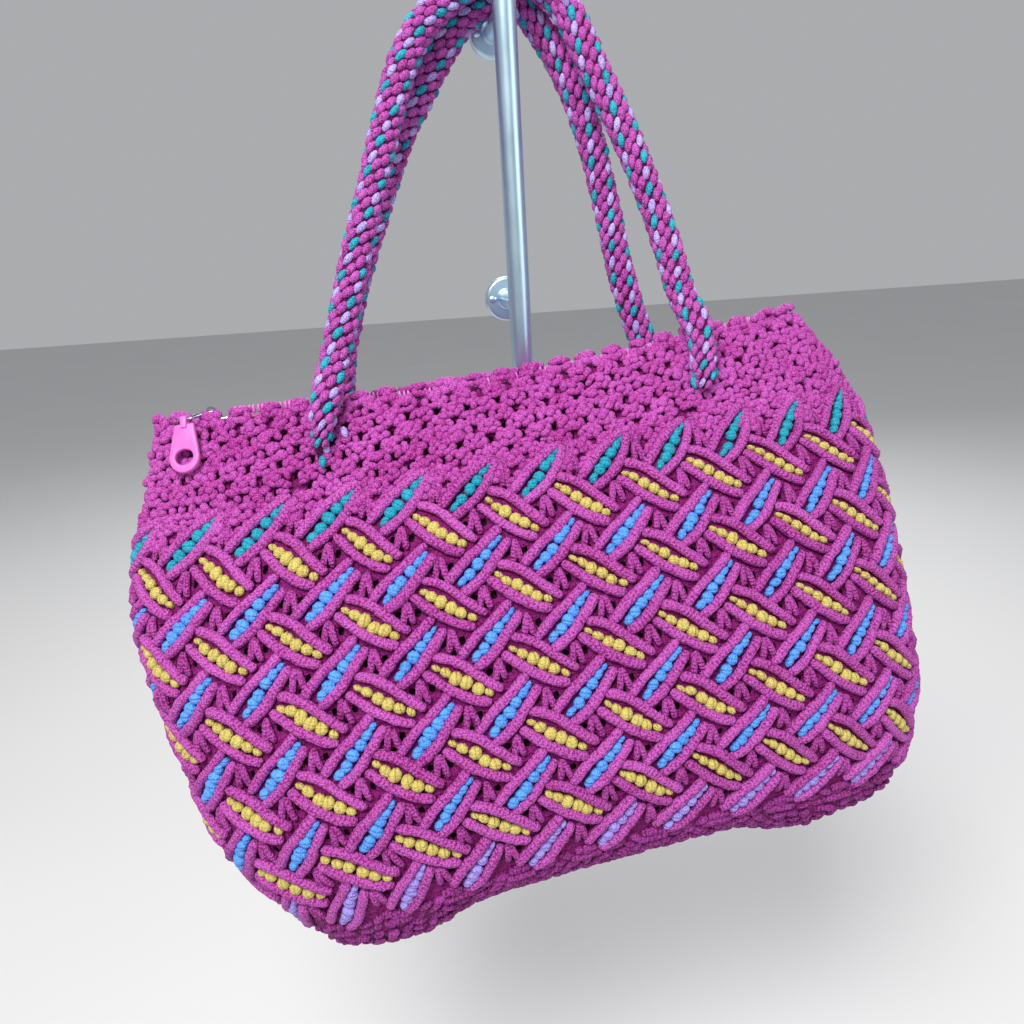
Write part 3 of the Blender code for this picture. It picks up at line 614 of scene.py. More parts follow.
# The leaves of the first row close to a point at the top.
FIRST_RIBS = ([(-15.3, -6.4), (-10.5, -2.2), (-4, 2.6), (1.5, 6.6), (7.5, 9.9), (12.4, 11.2)],
              [(-9.8, -10.6), (-5.5, -8.9), (-1, -6.4), (4.6, -2.6), (10.2, 3.2), (12.8, 9.6)])
luck = np.random.default_rng(11)
RIB_RINGS = 20
rib_share = np.concatenate([[0, 0.012, 0.045], np.linspace(0.09, 0.91, RIB_RINGS - 5), [0.955, 0.988, 1]])
rib_girth = np.interp(rib_share, [0, 0.012, 0.045, 0.10, 0.39, 0.48, 0.56, 0.90, 0.955, 0.988, 1],
                      [0, 0.62, 0.92, 1, 1.01, 1.04, 1, 1, 0.92, 0.62, 0])
rib_shape = rod_shape(RIB_RINGS, 8)
lines, outs, tones, girths = [], [], [], []
for row in range(LEAF_ROWS):
    for which, points in enumerate(RIBS[row % 2] if row else FIRST_RIBS):
        bend = smooth_line(points, rib_share)
        half = 2 * np.arange(LEAVES)[:, None] + row % 2 + bend[None, :, 0] / HALF_PITCH
        up = bend[None, :, 1] + luck.normal(0, 0.22, (LEAVES, 1))
        # Two lengths of rib overlap near the middle, so the line steps a little there.
        up = up + 0.4 * np.tanh((rib_share - 0.5) * 14) * (1 if which else -1)
        half = half + luck.normal(0, 0.012, (LEAVES, 1))
        at_row = row - up / ROW_STEP
        lift = -2.0 - 0.9 * np.abs(2 * rib_share - 1) ** 5 + luck.normal(0, 0.12, (LEAVES, 1))
        line, out = on_wall(turn_at(half, at_row), row_height(at_row), lift)
        lines.append(line)
        outs.append(out)
        tones.append(luck.normal(0.05, 0.22, LEAVES))
        girths.append(np.broadcast_to(rib_girth * RIB_RADIUS, half.shape)
                      * luck.normal(1, 0.045, (LEAVES, 1)))
# Every hitch stands out a little more or less than the next one.
girths = np.concatenate(girths)
girths = girths * np.random.default_rng(12).uniform(0.93, 1.07, girths.shape)
spots, lay = rods(rib_shape, np.concatenate(lines), np.concatenate(outs), girths, girths)
HITCH_ROUGH = 0.13
rough = np.random.default_rng(13).normal(0, HITCH_ROUGH * MM, spots.shape)
spots = spots + rough * (rib_girth > 0)[rib_shape["ring"]][:, None]
lay_many("leaf_ribs", rib_shape, spots, lay, np.concatenate(tones), rib_cord, "pink_cord")


# Leaf beads: between its two ribs every leaf is filled with a row of six small knots of a bright
# cord, large in the middle and small at the ends. The first row is teal, the last one lilac, and
# blue and yellow take turns between them.
def wall_axes(half, row):
    """Right, up and out of the wall at places of the net."""
    turn, height = turn_at(half, row), row_height(row)
    right, out = sample(wall_right, turn, height), sample(wall_out, turn, height)
    out /= np.linalg.norm(out, axis=-1, keepdims=True)
    right -= out * (right * out).sum(-1, keepdims=True)
    right /= np.linalg.norm(right, axis=-1, keepdims=True)
    return right, np.cross(out, right), out


def knots(shape, rows, luck, lumps=0.09):
    """Points of many small knots, balls with a few soft lumps. A row opens with the knot's place on the
    net, its lift and lean, and its length, width and height in mm."""
    ball = shape["ball"]
    grown = np.ones((len(rows), len(ball)))
    for _ in range(4):
        way = luck.normal(0, 1, (len(rows), 3))
        way /= np.linalg.norm(way, axis=1, keepdims=True)
        grown += lumps * np.clip(way @ ball.T, 0, 1) ** 3 * luck.uniform(0.4, 1.6, (len(rows), 1))
    half, row, lift, lean = rows[:, :4].T
    middle, _ = on_wall(turn_at(half, row), row_height(row), lift)
    right, up, out = wall_axes(half, row)
    c, s = np.cos(lean)[:, None], np.sin(lean)[:, None]
    one, two = right * c + up * s, up * c - right * s
    lump = ball[None] * grown[..., None] * rows[:, None, 4:7] * MM
    spots = (middle[:, None] + lump[..., :1] * one[:, None] + lump[..., 1:2] * two[:, None]
             + lump[..., 2:] * out[:, None])
    return spots, np.broadcast_to(ball[None], spots.shape)


def bead_finish(name, lit, shaded):
    """Bright nylon cord tied in a small tight knot, with two creases where its turns cross. Its colour runs
    from a lit to a shaded tone, with painted shade in the creases, between the small grains and towards the
    knot's rim, where it lies under the ribs.
    """
    finish, start, feed = new_finish(name, Sheen_Weight=0.06, Specular_IOR_Level=0.4)
    x, y, out = start.lay()
    tone = start.tone()
    first, second = abs(x * 0.85 + y * 0.5 + tone * 0.5), abs(y * 0.9 - x * 0.35 - tone * 0.4)
    crease = start.math("MULTIPLY", start.math("MINIMUM", first, second + 0.12), 4.5, clamp=True)
    grain = 1.15 - start.cells(start.ground(), 1150.0, 0.8) * 1.3
    # Painted shade: the knot darkens towards its rim, where it sinks under the ribs.
    rim = start.math("MULTIPLY_ADD", out, 0.9, 0.62, clamp=True)
    light = start.math("MULTIPLY", crease * 0.35 + 0.65, rim + (grain - 0.5) * 0.9 + tone * 0.2, clamp=True)
    feed("Base Color", mixed(light, shaded, lit))
    feed("Roughness", 0.62 - light * 0.15)
    feed("Normal", start.bump(crease * 0.8 + grain * 0.6, 0.9, 0.0006))
    return finish


# Beads of a leaf in even and in odd rows: right and up from its middle, and half the bead's width.
BEADS = {
    0: [(9.2, 7.3, 1.4), (6.2, 5.1, 2.1), (2.6, 2.3, 2.7),
        (-1.0, -1.0, 2.9), (-4.5, -4.0, 2.6), (-8.0, -6.6, 1.9)],
    1: [(-9.2, 7.8, 1.4), (-6.0, 5.3, 2.1), (-2.3, 2.2, 2.8),
        (1.4, -1.0, 2.9), (5.2, -3.7, 2.5), (9.4, -6.2, 1.7)],
}
bead_shape = rod_shape(6, 8)
for colour, rows, lit, shaded in (
        ("teal", (0,), (0.0, 0.355, 0.50), (0.0, 0.012, 0.028)),
        ("blue", (2, 4, 6, 8), (0.085, 0.34, 0.90), (0.008, 0.045, 0.28)),
        ("lilac", (10,), (0.34, 0.28, 0.78), (0.10, 0.025, 0.26)),
        ("yellow", (1, 3, 5, 7, 9), (0.60, 0.51, 0.13), (0.27, 0.105, 0.010))):
    luck = np.random.default_rng(len(colour) * 7)
    places = []
    for row in rows:
        for leaf in range(LEAVES):
            # Leaves gape a little more at the bag's left end, where it sags, than at its right end.
            gape = 1.13 - 0.30 * min(leaf / 12, 2 - leaf / 12)
            open_leaf = gape * luck.uniform(0.90, 1.10)
            for dx, dy, across in BEADS[row % 2]:
                dx, dy = dx + luck.normal(0, 0.25), dy + luck.normal(0, 0.25)
                lean = (0.72 if row % 2 == 0 else -0.72) + luck.normal(0, 0.15)
                places.append((2 * leaf + row % 2 + dx / HALF_PITCH, row - dy / ROW_STEP,
                               -3.3 + 0.2 * across + luck.normal(0, 0.15), lean, 2.8 - 0.6 * (across < 1.8),
                               open_leaf * across * luck.normal(1, 0.06), 1.7 + 0.27 * across))
    places = np.array(places)
    spots, lay = knots(bead_shape, places, luck)
    lay_many("leaf_beads_" + colour, bead_shape, spots, lay, luck.normal(0, 0.3, len(places)),
             bead_finish(colour + "_cord", lit, shaded), "pink_cord")


# Window cords: in every window between the leaves two pink cords cross from the ribs above to the
# ribs below, standing apart like the legs of a ladder, with dark openings on both sides.
# The window cords are the same pink as the ribs, a little darker: painted shade, as they lie deeper.
window_cord = cord_finish("window_cord", (0.54, 0.09, 0.47), (0.17, 0.001, 0.10), wrap=1.5)
luck = np.random.default_rng(23)
cord_share = np.array([0, 0.03, 0.15, 0.38, 0.62, 0.85, 0.97, 1])
cord_girth = np.array([0, 0.7, 1, 1.05, 1.05, 1, 0.7, 0])
cord_shape = rod_shape(7, 6)
halves, at_rows = [], []
for row in range(LEAF_ROWS):
    for half in range(1 - row % 2, HALVES, 2):
        pairs = [((-0.5, 5.6), (-3.0, -3.6)), ((-0.1, 5.4), (1.9, -4.0))]
        if row == 0:
            pairs += [((-0.9, 13.0), (-1.9, 4.6)), ((1.9, 12.6), (0.9, 4.6))]
        for top, low in pairs:
            wobble = luck.normal(0, 0.3, 4)
            x = top[0] + wobble[0] + (low[0] + wobble[1] - top[0]) * cord_share
            y = top[1] + wobble[2] + (low[1] + wobble[3] - top[1]) * cord_share
            halves.append(half + x / HALF_PITCH)
            at_rows.append(row - y / ROW_STEP)
halves, at_rows = np.array(halves), np.array(at_rows)
line, out = on_wall(turn_at(halves, at_rows), row_height(at_rows), -3.3 + 1.1 * np.sin(math.pi * cord_share))
spots, lay = rods(cord_shape, line, out, cord_girth * 1.5, cord_girth * 1.4)
lay_many("window_cords", cord_shape, spots, lay, luck.normal(-0.1, 0.2, len(spots)), window_cord, "pink_cord")


# Band: above the leaves nine rows of square knots go round the bag, set in brick fashion with a
# small dark gap between every four. Each is a round of soft turns of cord about a raised middle, held
# by a loop on either side. The top row makes the scalloped rim.
band_cord = cord_finish("band_cord", (0.59, 0.128, 0.56), (0.28, 0.003, 0.17), wrap=2.4, relief=0.0003,
                        stitch=1400.0, ringed=0.15)
BAND_ROWS, BAND_TOP, BAND_STEP = 9, 42.0, 4.95
# A knot's turns of cord: right and up from its middle, lean, half length, half width and lift.
KNOT_TURNS = (
    (-2.0, 1.8, 0.45, 2.3, 1.6, -1.4), (1.6, 2.1, -0.2, 2.4, 1.6, -1.4), (-1.6, -1.8, -0.2, 2.3, 1.55, -1.6),
    (2.0, -1.6, 0.5, 2.3, 1.55, -1.5), (0.1, 0.1, 0.15, 2.2, 1.7, -0.8), (-4.6, 0.2, 1.3, 2.1, 1.6, -1.9),
    (4.6, 0.1, 1.8, 2.1, 1.6, -1.9))
# The loops that hold it: right and up, lean and half length.
KNOT_LOOPS = ((-4.0, -2.5, 0.56, 2.5), (4.1, -2.5, -0.56, 2.5), (-2.4, 3.0, -0.3, 1.9), (2.5, 3.0, 0.4, 1.9))


def leaf_edge(x):
    """How high the leaves of the first row reach above their middle, x mm to the right of it."""
    return 3.6 + 0.72 * x


luck = np.random.default_rng(31)
bars, loops = [], []
for level_no in range(BAND_ROWS):
    height = BAND_TOP - BAND_STEP * level_no
    for n in range(HALVES):
        half = n + (0.75 if level_no % 2 == 0 else 0.25) + luck.normal(0, 0.018)
        row = float(row_at(height + luck.normal(0, 0.3)))
        sunk = 0.0
        if level_no >= 6:
            # The lowest knots make room for the tops of the first leaves.
            dx, dy = ((half + 1) % 2 - 1) * HALF_PITCH, -row * ROW_STEP
            if -15 < dx < 12 and dy < leaf_edge(dx) + 2.6:
                continue
            sunk = 0.9
        tight = 1.17 if 15 <= n < 24 or n >= 39 else 1.09      # no gaps near the right end
        # The left half of the front is a little darker: painted shade.
        tone = luck.normal(0.05 - 0.28 * ease((14 - n) / 4), 0.2)
        big = tight * luck.normal(1.12 if level_no == 0 else 1.0, 0.05)
        for x, y, tilt, long, wide, lift in KNOT_TURNS:
            x, y = x + luck.normal(0, 0.35), y + luck.normal(0, 0.3)
            if level_no == 0:
                y += 1.4 - 0.12 * x * x      # the rim is scalloped
            bars.append((half + x * big / HALF_PITCH, row - y * big / ROW_STEP,
                         lift - sunk + luck.normal(0, 0.25), tilt + luck.normal(0, 0.35),
                         long * big, wide * big * luck.normal(1, 0.07), 1.65, tone + luck.normal(0, 0.13)))
        for x, y, tilt, long in KNOT_LOOPS:
            x, y = x + luck.normal(0, 0.25), y + luck.normal(0, 0.2)
            loops.append((half + x / HALF_PITCH, row - y / ROW_STEP, -2.5 - sunk + luck.normal(0, 0.2),
                          tilt + luck.normal(0, 0.25), long * big, 1.45 * big * luck.normal(1, 0.08), 1.5,
                          tone + luck.normal(-0.1, 0.15)))
# Small turns of cord fill the two lines above the first leaves.
for half in range(0, HALVES, 2):
    for above in (3.4, 5.9):
        for x in np.arange(-13.0, 9.0, 2.7):
            x, y = x + luck.normal(0, 0.4), leaf_edge(x) + above + luck.normal(0, 0.4)
            if y > -1.0:
                loops.append((half + x / HALF_PITCH, -y / ROW_STEP, -2.9 + luck.normal(0, 0.2),
                              luck.normal(0.4, 0.6), 2.1 * luck.normal(1, 0.08), 1.55, 1.6,
                              luck.normal(-0.05, 0.2)))
band_shape = rod_shape(5, 7)
for name, rows in (("band_knots", np.array(bars)), ("band_loops", np.array(loops))):
    spots, lay = knots(band_shape, rows, luck, lumps=0.11)
    lay = np.stack([lay[..., 1], lay[..., 2], lay[..., 0] * rows[:, None, 4]], -1)
    lay_many(name, band_shape, spots, lay, rows[:, 7], band_cord, "pink_cord")


# Foot: under the last leaves two short level ribs fill each gap, and below them rounds of small
# tight knots lie one within the other, down the turned-in foot and over the flat base.
# The foot's cord is the same pink, given darker colours: painted shade towards the bottom of the bag.
foot_cord = cord_finish("foot_cord", (0.42, 0.055, 0.37), (0.12, 0.001, 0.07), wrap=1.9)
luck = np.random.default_rng(41)
short_share = np.array([0, 0.02, 0.10, 0.30, 0.50, 0.70, 0.90, 0.98, 1])
short_girth = np.array([0, 0.65, 0.95, 1, 1.03, 1, 0.95, 0.65, 0])
short_shape = rod_shape(8, 8)
lines, outs = [], []
for half in range(1, HALVES, 2):
    for row, reach, lift, sag in ((10.62, 5.2, -2.7, 0.3), (10.98, 7.6, -2.1, 0.2)):
        x = half + (short_share * 2 - 1) * reach / HALF_PITCH + luck.normal(0, 0.03)
        at_row = row + sag * 0.1 * (short_share * 2 - 1) ** 2 + luck.normal(0, 0.02)
        line, out = on_wall(turn_at(x, at_row), row_height(at_row), lift)
        lines.append(line)
        outs.append(out)
SHORT_RADIUS = 1.8
girths = np.tile(short_girth * SHORT_RADIUS, (len(lines), 1))
spots, lay = rods(short_shape, np.array(lines), np.array(outs), girths, girths)
lay_many("foot_ribs", short_shape, spots, lay, luck.normal(-0.1, 0.2, len(spots)), foot_cord, "pink_cord")
# The rounds are spaced by the way down the middle of the front and on to the middle of the base.
FOOT_TOP, ROUND_STEP, KNOTS_ROUND, KNOT_LONG = -163.5, 3.7, 96, 3.4
front_line = wall_net[::-1, PLACES // 4]
down = np.concatenate([[0.0], np.cumsum(np.linalg.norm(np.diff(front_line, axis=0), axis=1))]) / MM
first_round = np.interp(-FOOT_TOP, -wall_heights[::-1], down)
rounds = np.linspace(first_round, down[-1] - 0.3, round((down[-1] - first_round) / ROUND_STEP) + 1)
rows = []
for level_no, height in enumerate(np.interp(rounds, down, wall_heights[::-1])):
    for n in range(KNOTS_ROUND):
        half = n / 2 + 0.25 * (level_no % 2) + luck.normal(0, 0.05)
        row = float(row_at(height + luck.normal(0, 0.4)))
        sunk = 1.0 if level_no < 2 else 0.0
        rows.append((half, row, -1.9 - sunk + luck.normal(0, 0.3), luck.normal(0.1, 0.4),
                     KNOT_LONG * luck.normal(1, 0.1), 1.75 * luck.normal(1, 0.08), 1.7,
                     luck.normal(-0.1, 0.25)))
rows = np.array(rows)
foot_shape = rod_shape(5, 8)
spots, lay = knots(foot_shape, rows, luck, lumps=0.13)
lay = np.stack([lay[..., 1], lay[..., 2], lay[..., 0] * KNOT_LONG], -1)
lay_many("foot_knots", foot_shape, spots, lay, rows[:, 7], foot_cord, "pink_cord")


# Handles: two round braids of pink cord with single runs of teal and lilac winding round them.
# Both hang over the upper post behind the tube, and their ends are tied into the wall.
ROPE_RADIUS, BRAID_LAY, CELL_PITCH, CELL_COLUMNS = 7.2, 180.0, 7.5, 12
# The rope's middle, and its radius where that isn't ROPE_RADIUS: thin where it is tied in, a little
# thicker near the top, where the two ropes lie against each other.
FRONT_ROPE = [
    (-101.5, -106.6, -184.5, 2.4), (-98.5, -101.2, -170.5, 5.6), (-95.0, -94.6, -158.0), (-91.0, -88.0, -146.0),
    (-83.5, -78.2, -122.7), (-75.6, -68.2, -97.3), (-66.3, -58.0, -71.4), (-57.3, -47.5, -44.7, 7.4),
    (-46.6, -37.0, -17.9, 7.7), (-33.3, -31.2, 1.4, 7.7), (-15.0, -30.0, 14.0), (2.0, -30.0, 18.7),
    (18.0, -30.0, 14.2), (32.3, -30.6, 2.0, 7.7), (41.5, -37.6, -21.6, 7.8), (48.3, -43.9, -39.2, 7.7),
    (56.7, -53.0, -63.5, 7.4), (63.4, -60.6, -86.3), (67.6, -66.8, -103.7), (71.6, -76.5, -127.0),
    (75.0, -88.9, -141.0), (75.3, -94.4, -152.2, 6.6), (73.6, -100.8, -163.9, 4.9), (73.0, -101.4, -169.0, 2.4),
]
BACK_ROPE = [
    (-95.5, -57.4, -186.0, 2.4), (-93.5, -52.8, -173.0, 5.6), (-90.5, -48.7, -159.5), (-88.0, -45.5, -145.0),
    (-78.6, -37.5, -114.0), (-64.8, -29.5, -80.3), (-50.8, -24.4, -48.8), (-40.2, -21.7, -31.5, 7.4),
    (-28.0, -18.6, -11.5, 7.8), (-13.3, -16.8, 5.4, 7.6), (2.5, -16.5, 12.3), (14.5, -16.7, 6.6),
    (25.6, -17.8, -8.5, 7.6), (33.4, -20.2, -23.1, 7.8), (38.8, -22.6, -37.6, 7.8), (43.4, -25.3, -54.6, 7.5),
    (46.7, -28.1, -71.7), (50.0, -31.0, -90.0), (54.0, -34.6, -115.0), (59.5, -38.6, -138.0),
    (64.0, -41.9, -152.5), (67.5, -45.2, -163.0, 5.8), (70.5, -49.2, -176.0, 2.4),
]


def follow(table, step, closed=False):
    """Even steps along a smooth line through the rows of a table, and the step's true length."""
    rows = np.array(table, dtype=float)
    count = len(rows)
    dense = []
    for k in range(count if closed else count - 1):
        a, b, c, d = (rows[(k + s) % count] if closed else rows[min(max(k + s, 0), count - 1)]
                      for s in (-1, 0, 1, 2))
        for t in np.arange(12) / 12:
            dense.append(0.5 * (2 * b + (c - a) * t + (2 * a - 5 * b + 4 * c - d) * t * t
                                + (3 * b - a - 3 * c + d) * t**3))
    dense = np.array(dense + [rows[0] if closed else rows[-1]])
    walk = np.concatenate([[0.0], np.cumsum(np.linalg.norm(np.diff(dense[:, :3], axis=0), axis=1))])
    steps = max(2, round(walk[-1] / step))
    want = np.linspace(0, walk[-1], steps + 1)
    return np.stack([np.interp(want, walk, dense[:, k]) for k in range(rows.shape[1])], -1), walk[-1] / steps


def carried(line):
    """Heading and two sides at each step of a line, turned as little as possible on the way."""
    ahead = np.gradient(line[:, :3], axis=0)
    ahead /= np.linalg.norm(ahead, axis=1, keepdims=True)
    side = np.array(Vector(ahead[0]).orthogonal())
    sides = []
    for way in ahead:
        side = side - way * (side @ way)
        side = side / np.linalg.norm(side)
        sides.append(side)
    return ahead, np.array(sides), np.cross(ahead, np.array(sides))


strand_finish = {}
for colour, name, lit, shaded in (
        ("pink", "rope_cord", (0.66, 0.145, 0.64), (0.20, 0.005, 0.125)),
        ("teal", "teal_strand", (0.03, 0.58, 0.74), (0.004, 0.11, 0.17)),
        ("lilac", "lilac_strand", (0.64, 0.56, 0.98), (0.22, 0.13, 0.46))):
    strand_finish[colour] = cord_finish(name, lit, shaded, wrap=3.2, slant=0.0, relief=0.0003, stitch=1500.0,
                                        ringed=0.1)
# The core is pink cord given very dark colours: painted shade in the gaps between the cells of the braid.
core_cord = cord_finish("rope_core", (0.18, 0.003, 0.10), (0.05, 0.0005, 0.025), slant=2.0)
# Half sizes of a cell of the braid, and how far it leans out of the rope's way.
CELL_LONG, CELL_HIGH, CELL_LEAN = 3.5, 1.6, 0.42
CELL_WIDE = {"pink": 1.95, "teal": 1.75, "lilac": 1.75}
CORE_RINGS = 90
cell_shape = rod_shape(5, 7)
core_shape = rod_shape(CORE_RINGS, 12)
luck = np.random.default_rng(53)
for label, table, start_turn in (("front", FRONT_ROPE, 0.3), ("back", BACK_ROPE, 1.1)):
    line, step = follow([row if len(row) == 4 else (*row, ROPE_RADIUS) for row in table], 0.5)
    ahead, side, over = carried(line)
    total = step * (len(line) - 1)
    middle = np.interp(np.linspace(0, 1, CORE_RINGS + 1), np.linspace(0, 1, len(line)), np.arange(len(line)))
    middle = middle.round().astype(int)
    girth = np.maximum(line[middle, 3] - 1.9, 0.8)
    girth[0] = girth[-1] = 0.0
    spots, lay = rods(core_shape, line[None, middle, :3] * MM, side[None, middle], girth[None], girth[None])
    lay_many("rope_core_" + label, core_shape, spots, lay, np.zeros(1), core_cord, "rope_cord")
    cells = {"pink": [], "teal": [], "lilac": []}
    for column in range(CELL_COLUMNS):
        for n in range(int(total / CELL_PITCH) + 1):
            at = (n + 0.5 * (column % 2)) * CELL_PITCH + luck.normal(0, 0.25)
            if not 1.0 < at < total - 1.0:
                continue
            k = int(at / step)
            radius = line[k, 3]
            angle = start_turn + 2 * math.pi * (column / CELL_COLUMNS + at / BRAID_LAY) + luck.normal(0, 0.02)
            if radius < 4.5 and column % 2:
                continue
            out = side[k] * math.cos(angle) + over[k] * math.sin(angle)
            sideways = np.cross(ahead[k], out)
            lean = CELL_LEAN + luck.normal(0, 0.07)
            long_way = ahead[k] * math.cos(lean) + sideways * math.sin(lean)
            wide_way = np.cross(out, long_way)
            colour = ("teal" if n % 2 else "lilac") if column % 3 == 0 else "pink"
            thin = 0.35 + 0.65 * radius / ROPE_RADIUS
            centre = line[k, :3] + out * (radius - 1.45 * thin + luck.normal(0, 0.12))
            sizes = np.array([CELL_LONG, CELL_WIDE[colour], CELL_HIGH]) * thin * luck.normal(1, 0.04, 3)
            cells[colour].append((centre, long_way, wide_way, out, sizes))
    for colour, finish in strand_finish.items():
        centre, long_way, wide_way, out, sizes = (np.array(part) for part in zip(*cells[colour]))
        ball = cell_shape["ball"]
        # The poles of the ball lie at the two ends of a cell, where it dips under its neighbours.
        lump = np.stack([ball[:, 2], -ball[:, 1], ball[:, 0]], -1)[None] * sizes[:, None, :]
        spots = (centre[:, None] + lump[..., :1] * long_way[:, None] + lump[..., 1:2] * wide_way[:, None]
                 + lump[..., 2:] * out[:, None] - out[:, None] * 0.5 * np.abs(ball[None, :, 2:]) ** 2) * MM
        lay = np.stack([lump[..., 1], lump[..., 2], lump[..., 0] + 1.6], -1)
        name = "rope_%s_%s" % (colour, label)
        lay_many(name, cell_shape, spots, lay, luck.normal(0.05, 0.2, len(centre)), finish, "rope_cord",
                 *(("handle_" + label,) if colour == "pink" else ()))

# Tails: where a braid is tied in, a few last turns of teal and lilac run on down the band.
# Each has its column on the net, its height and its half length.
TAILS = {
    "teal": [(3.80, 29.5, 3.6), (3.63, 20.0, 3.0), (15.60, 22.5, 3.4),
             (16.48, 25.5, 3.4), (39.38, 21.0, 3.3), (27.75, 15.5, 3.3)],
    "lilac": [(3.70, 24.8, 3.3), (4.27, 29.5, 3.0), (15.92, 28.5, 3.6),
              (39.42, 15.5, 3.0), (27.72, 10.0, 3.0)],
}
TAIL_LIFT = 0.9
for colour, tails in TAILS.items():
    half, height, long = np.array(tails).T
    lift, lean = np.full(len(tails), TAIL_LIFT), luck.normal(1.7, 0.15, len(tails))
    rows = np.stack([half, row_at(height), lift, lean, long, 0.56 * long, 0.5 * long], -1)
    spots, lay = knots(cell_shape, rows, luck, 0.03)
    lay_many("rope_tails_" + colour, cell_shape, spots, lay, luck.normal(0, 0.2, len(rows)),
             strand_finish[colour], "rope_cord")


# Zip: two tapes of woven polyester sewn inside the rim, each folded down along the inner face of
# the wall. Moulded teeth are clamped on the tapes' middle edges and closed along the whole mouth.
MOUTH_HALF, MOUTH_MIDDLE, SLIDER_X = 134.0, -5.0, -131.0
TAPE_WIDTH, TAPE_THICK, TAPE_DROP, TAPE_GAP, TAPE_INSET = 14.0, 0.7, 3.0, 0.25, 6.7
rim_w, rim_d, _, rim_shift, rim_rise = glide(WALL, 44.0)


def mouth_line(x):
    """Middle of the mouth at rim height, in bag millimetres."""
    local = x - rim_shift
    sunk = 3.2 * ease((x + 82) / 45)
    return np.array([x, -rim_d, 42.4 + rim_rise * (local / rim_w) ** 2 + CLIMB * local - sunk])


tape_weave, start, feed = new_finish("tape_weave", Sheen_Weight=0.2)
along, across, _ = start.lay()
warp = start.math("SINE", along * (2 * math.pi / 0.9))
weft = start.math("SINE", across * (2 * math.pi / 0.7))
twill = warp * weft * 0.5 + 0.5
fuzz = start.noise(start.ground(), 700.0)
feed("Base Color", mixed(twill * 0.5 + fuzz * 0.5, (0.52, 0.06, 0.31), (0.78, 0.16, 0.50)))
feed("Roughness", 0.75 - twill * 0.15)
feed("Normal", start.bump(twill + fuzz * 0.5, 0.7, 0.0003))
for label, sign in (("front", -1), ("back", 1)):
    bm = bmesh.new()
    bmesh.ops.create_grid(bm, x_segments=90, y_segments=10, size=1.0)
    lay_layer = bm.verts.layers.float_vector.new("lay")
    for v in bm.verts:
        x = MOUTH_MIDDLE + v.co.x * MOUTH_HALF
        reach = TAPE_GAP + (v.co.y + 1) / 2 * (TAPE_WIDTH - TAPE_GAP)
        edge = (rim_d - TAPE_INSET) * math.sqrt(max(0.0, 1 - ((x - rim_shift) / (rim_w - TAPE_INSET)) ** 2))
        spot = mouth_line(x) + np.array([0, sign * min(reach, edge), -TAPE_DROP - max(0.0, reach - edge)])
        v[lay_layer] = (x, reach, 0.0)
        v.co = Vector(to_world(spot))
    bmesh.ops.recalc_face_normals(bm, faces=bm.faces)
    if bm.faces[:][0].normal.z < 0:
        bmesh.ops.reverse_faces(bm, faces=bm.faces)
    tape = piece(bm, "tape_" + label, tape_weave, "zip_pink", "zip_tape_" + label)
    thicken(tape, TAPE_THICK)

tooth_plastic, start, feed = new_finish("tooth_plastic", Specular_IOR_Level=0.5)
cloudy = start.noise(start.ground(), 220.0)
feed("Base Color", mixed(cloudy, (0.56, 0.12, 0.49), (0.68, 0.19, 0.60)))
feed("Roughness", cloudy * 0.15 + 0.3)
TOOTH_SIZE, TOOTH_STEP, TOOTH_ROW = (1.7, 3.6, 3.6), 2.0, 1.15


def rounded(bm, edges, radius, steps):
    """Round off some edges."""
    bmesh.ops.bevel(bm, geom=edges, offset=radius, segments=steps, affect="EDGES", profile=0.5, material=-1)


bm = bmesh.new()
bmesh.ops.create_cube(bm, size=1.0)
rounded(bm, bm.edges[:], 0.16, 1)
for v in bm.verts:
    if v.co.z > 0:
        v.co.x *= 0.62
        v.co.y *= 0.8
tooth = shape_of(bm)
centres = np.array([mouth_line(x) + np.array([0, TOOTH_ROW if k % 2 else -TOOTH_ROW, 0.1])
                    for k, x in enumerate(np.arange(SLIDER_X + 7.0, MOUTH_HALF - 6.0, TOOTH_STEP))])
spots = to_world(centres[:, None] + tooth["ball"][None] * np.array(TOOTH_SIZE))
lay_many("zip_teeth", tooth, spots, spots, np.zeros(len(spots)), tooth_plastic, "zip_pink", "zip_chain")


# Slider: a small plated body that runs on the teeth, with an upright lug. A wire loop goes through
# the lug and carries the puller, moulded of pink plastic with a finger hole.
plated, start, feed = new_finish("plated", Metallic=1.0)
tarnish = start.noise(start.ground(), 180.0, 3.0)
feed("Base Color", mixed(tarnish, (0.34, 0.36, 0.42), (0.52, 0.54, 0.60)))
feed("Roughness", tarnish * 0.15 + 0.12)
LUG_RIGHT, LUG_UP, LUG_THICK, LUG_RADII = -3.6, 5.6, 1.5, (2.3, 1.25)
WIRE_RADIUS = 0.6
PULLER_TURN, PULLER_TILT, PULLER_THICK = math.radians(-15), math.radians(65), 2.2
slide_at = mouth_line(SLIDER_X) + np.array([0, 0, -TAPE_DROP - 1.6])
lug_hole = slide_at + np.array([LUG_RIGHT, 0, LUG_UP])
reach = np.array([-9.6, -12.6, -1.2])
tongue_hole = lug_hole + reach
run = reach / np.linalg.norm(reach)
across = np.cross(run, [0, 0, 1])
across /= np.linalg.norm(across)
puller_side = np.array([math.cos(PULLER_TURN), math.sin(PULLER_TURN), 0])
if across @ puller_side < 0:
    across = -across
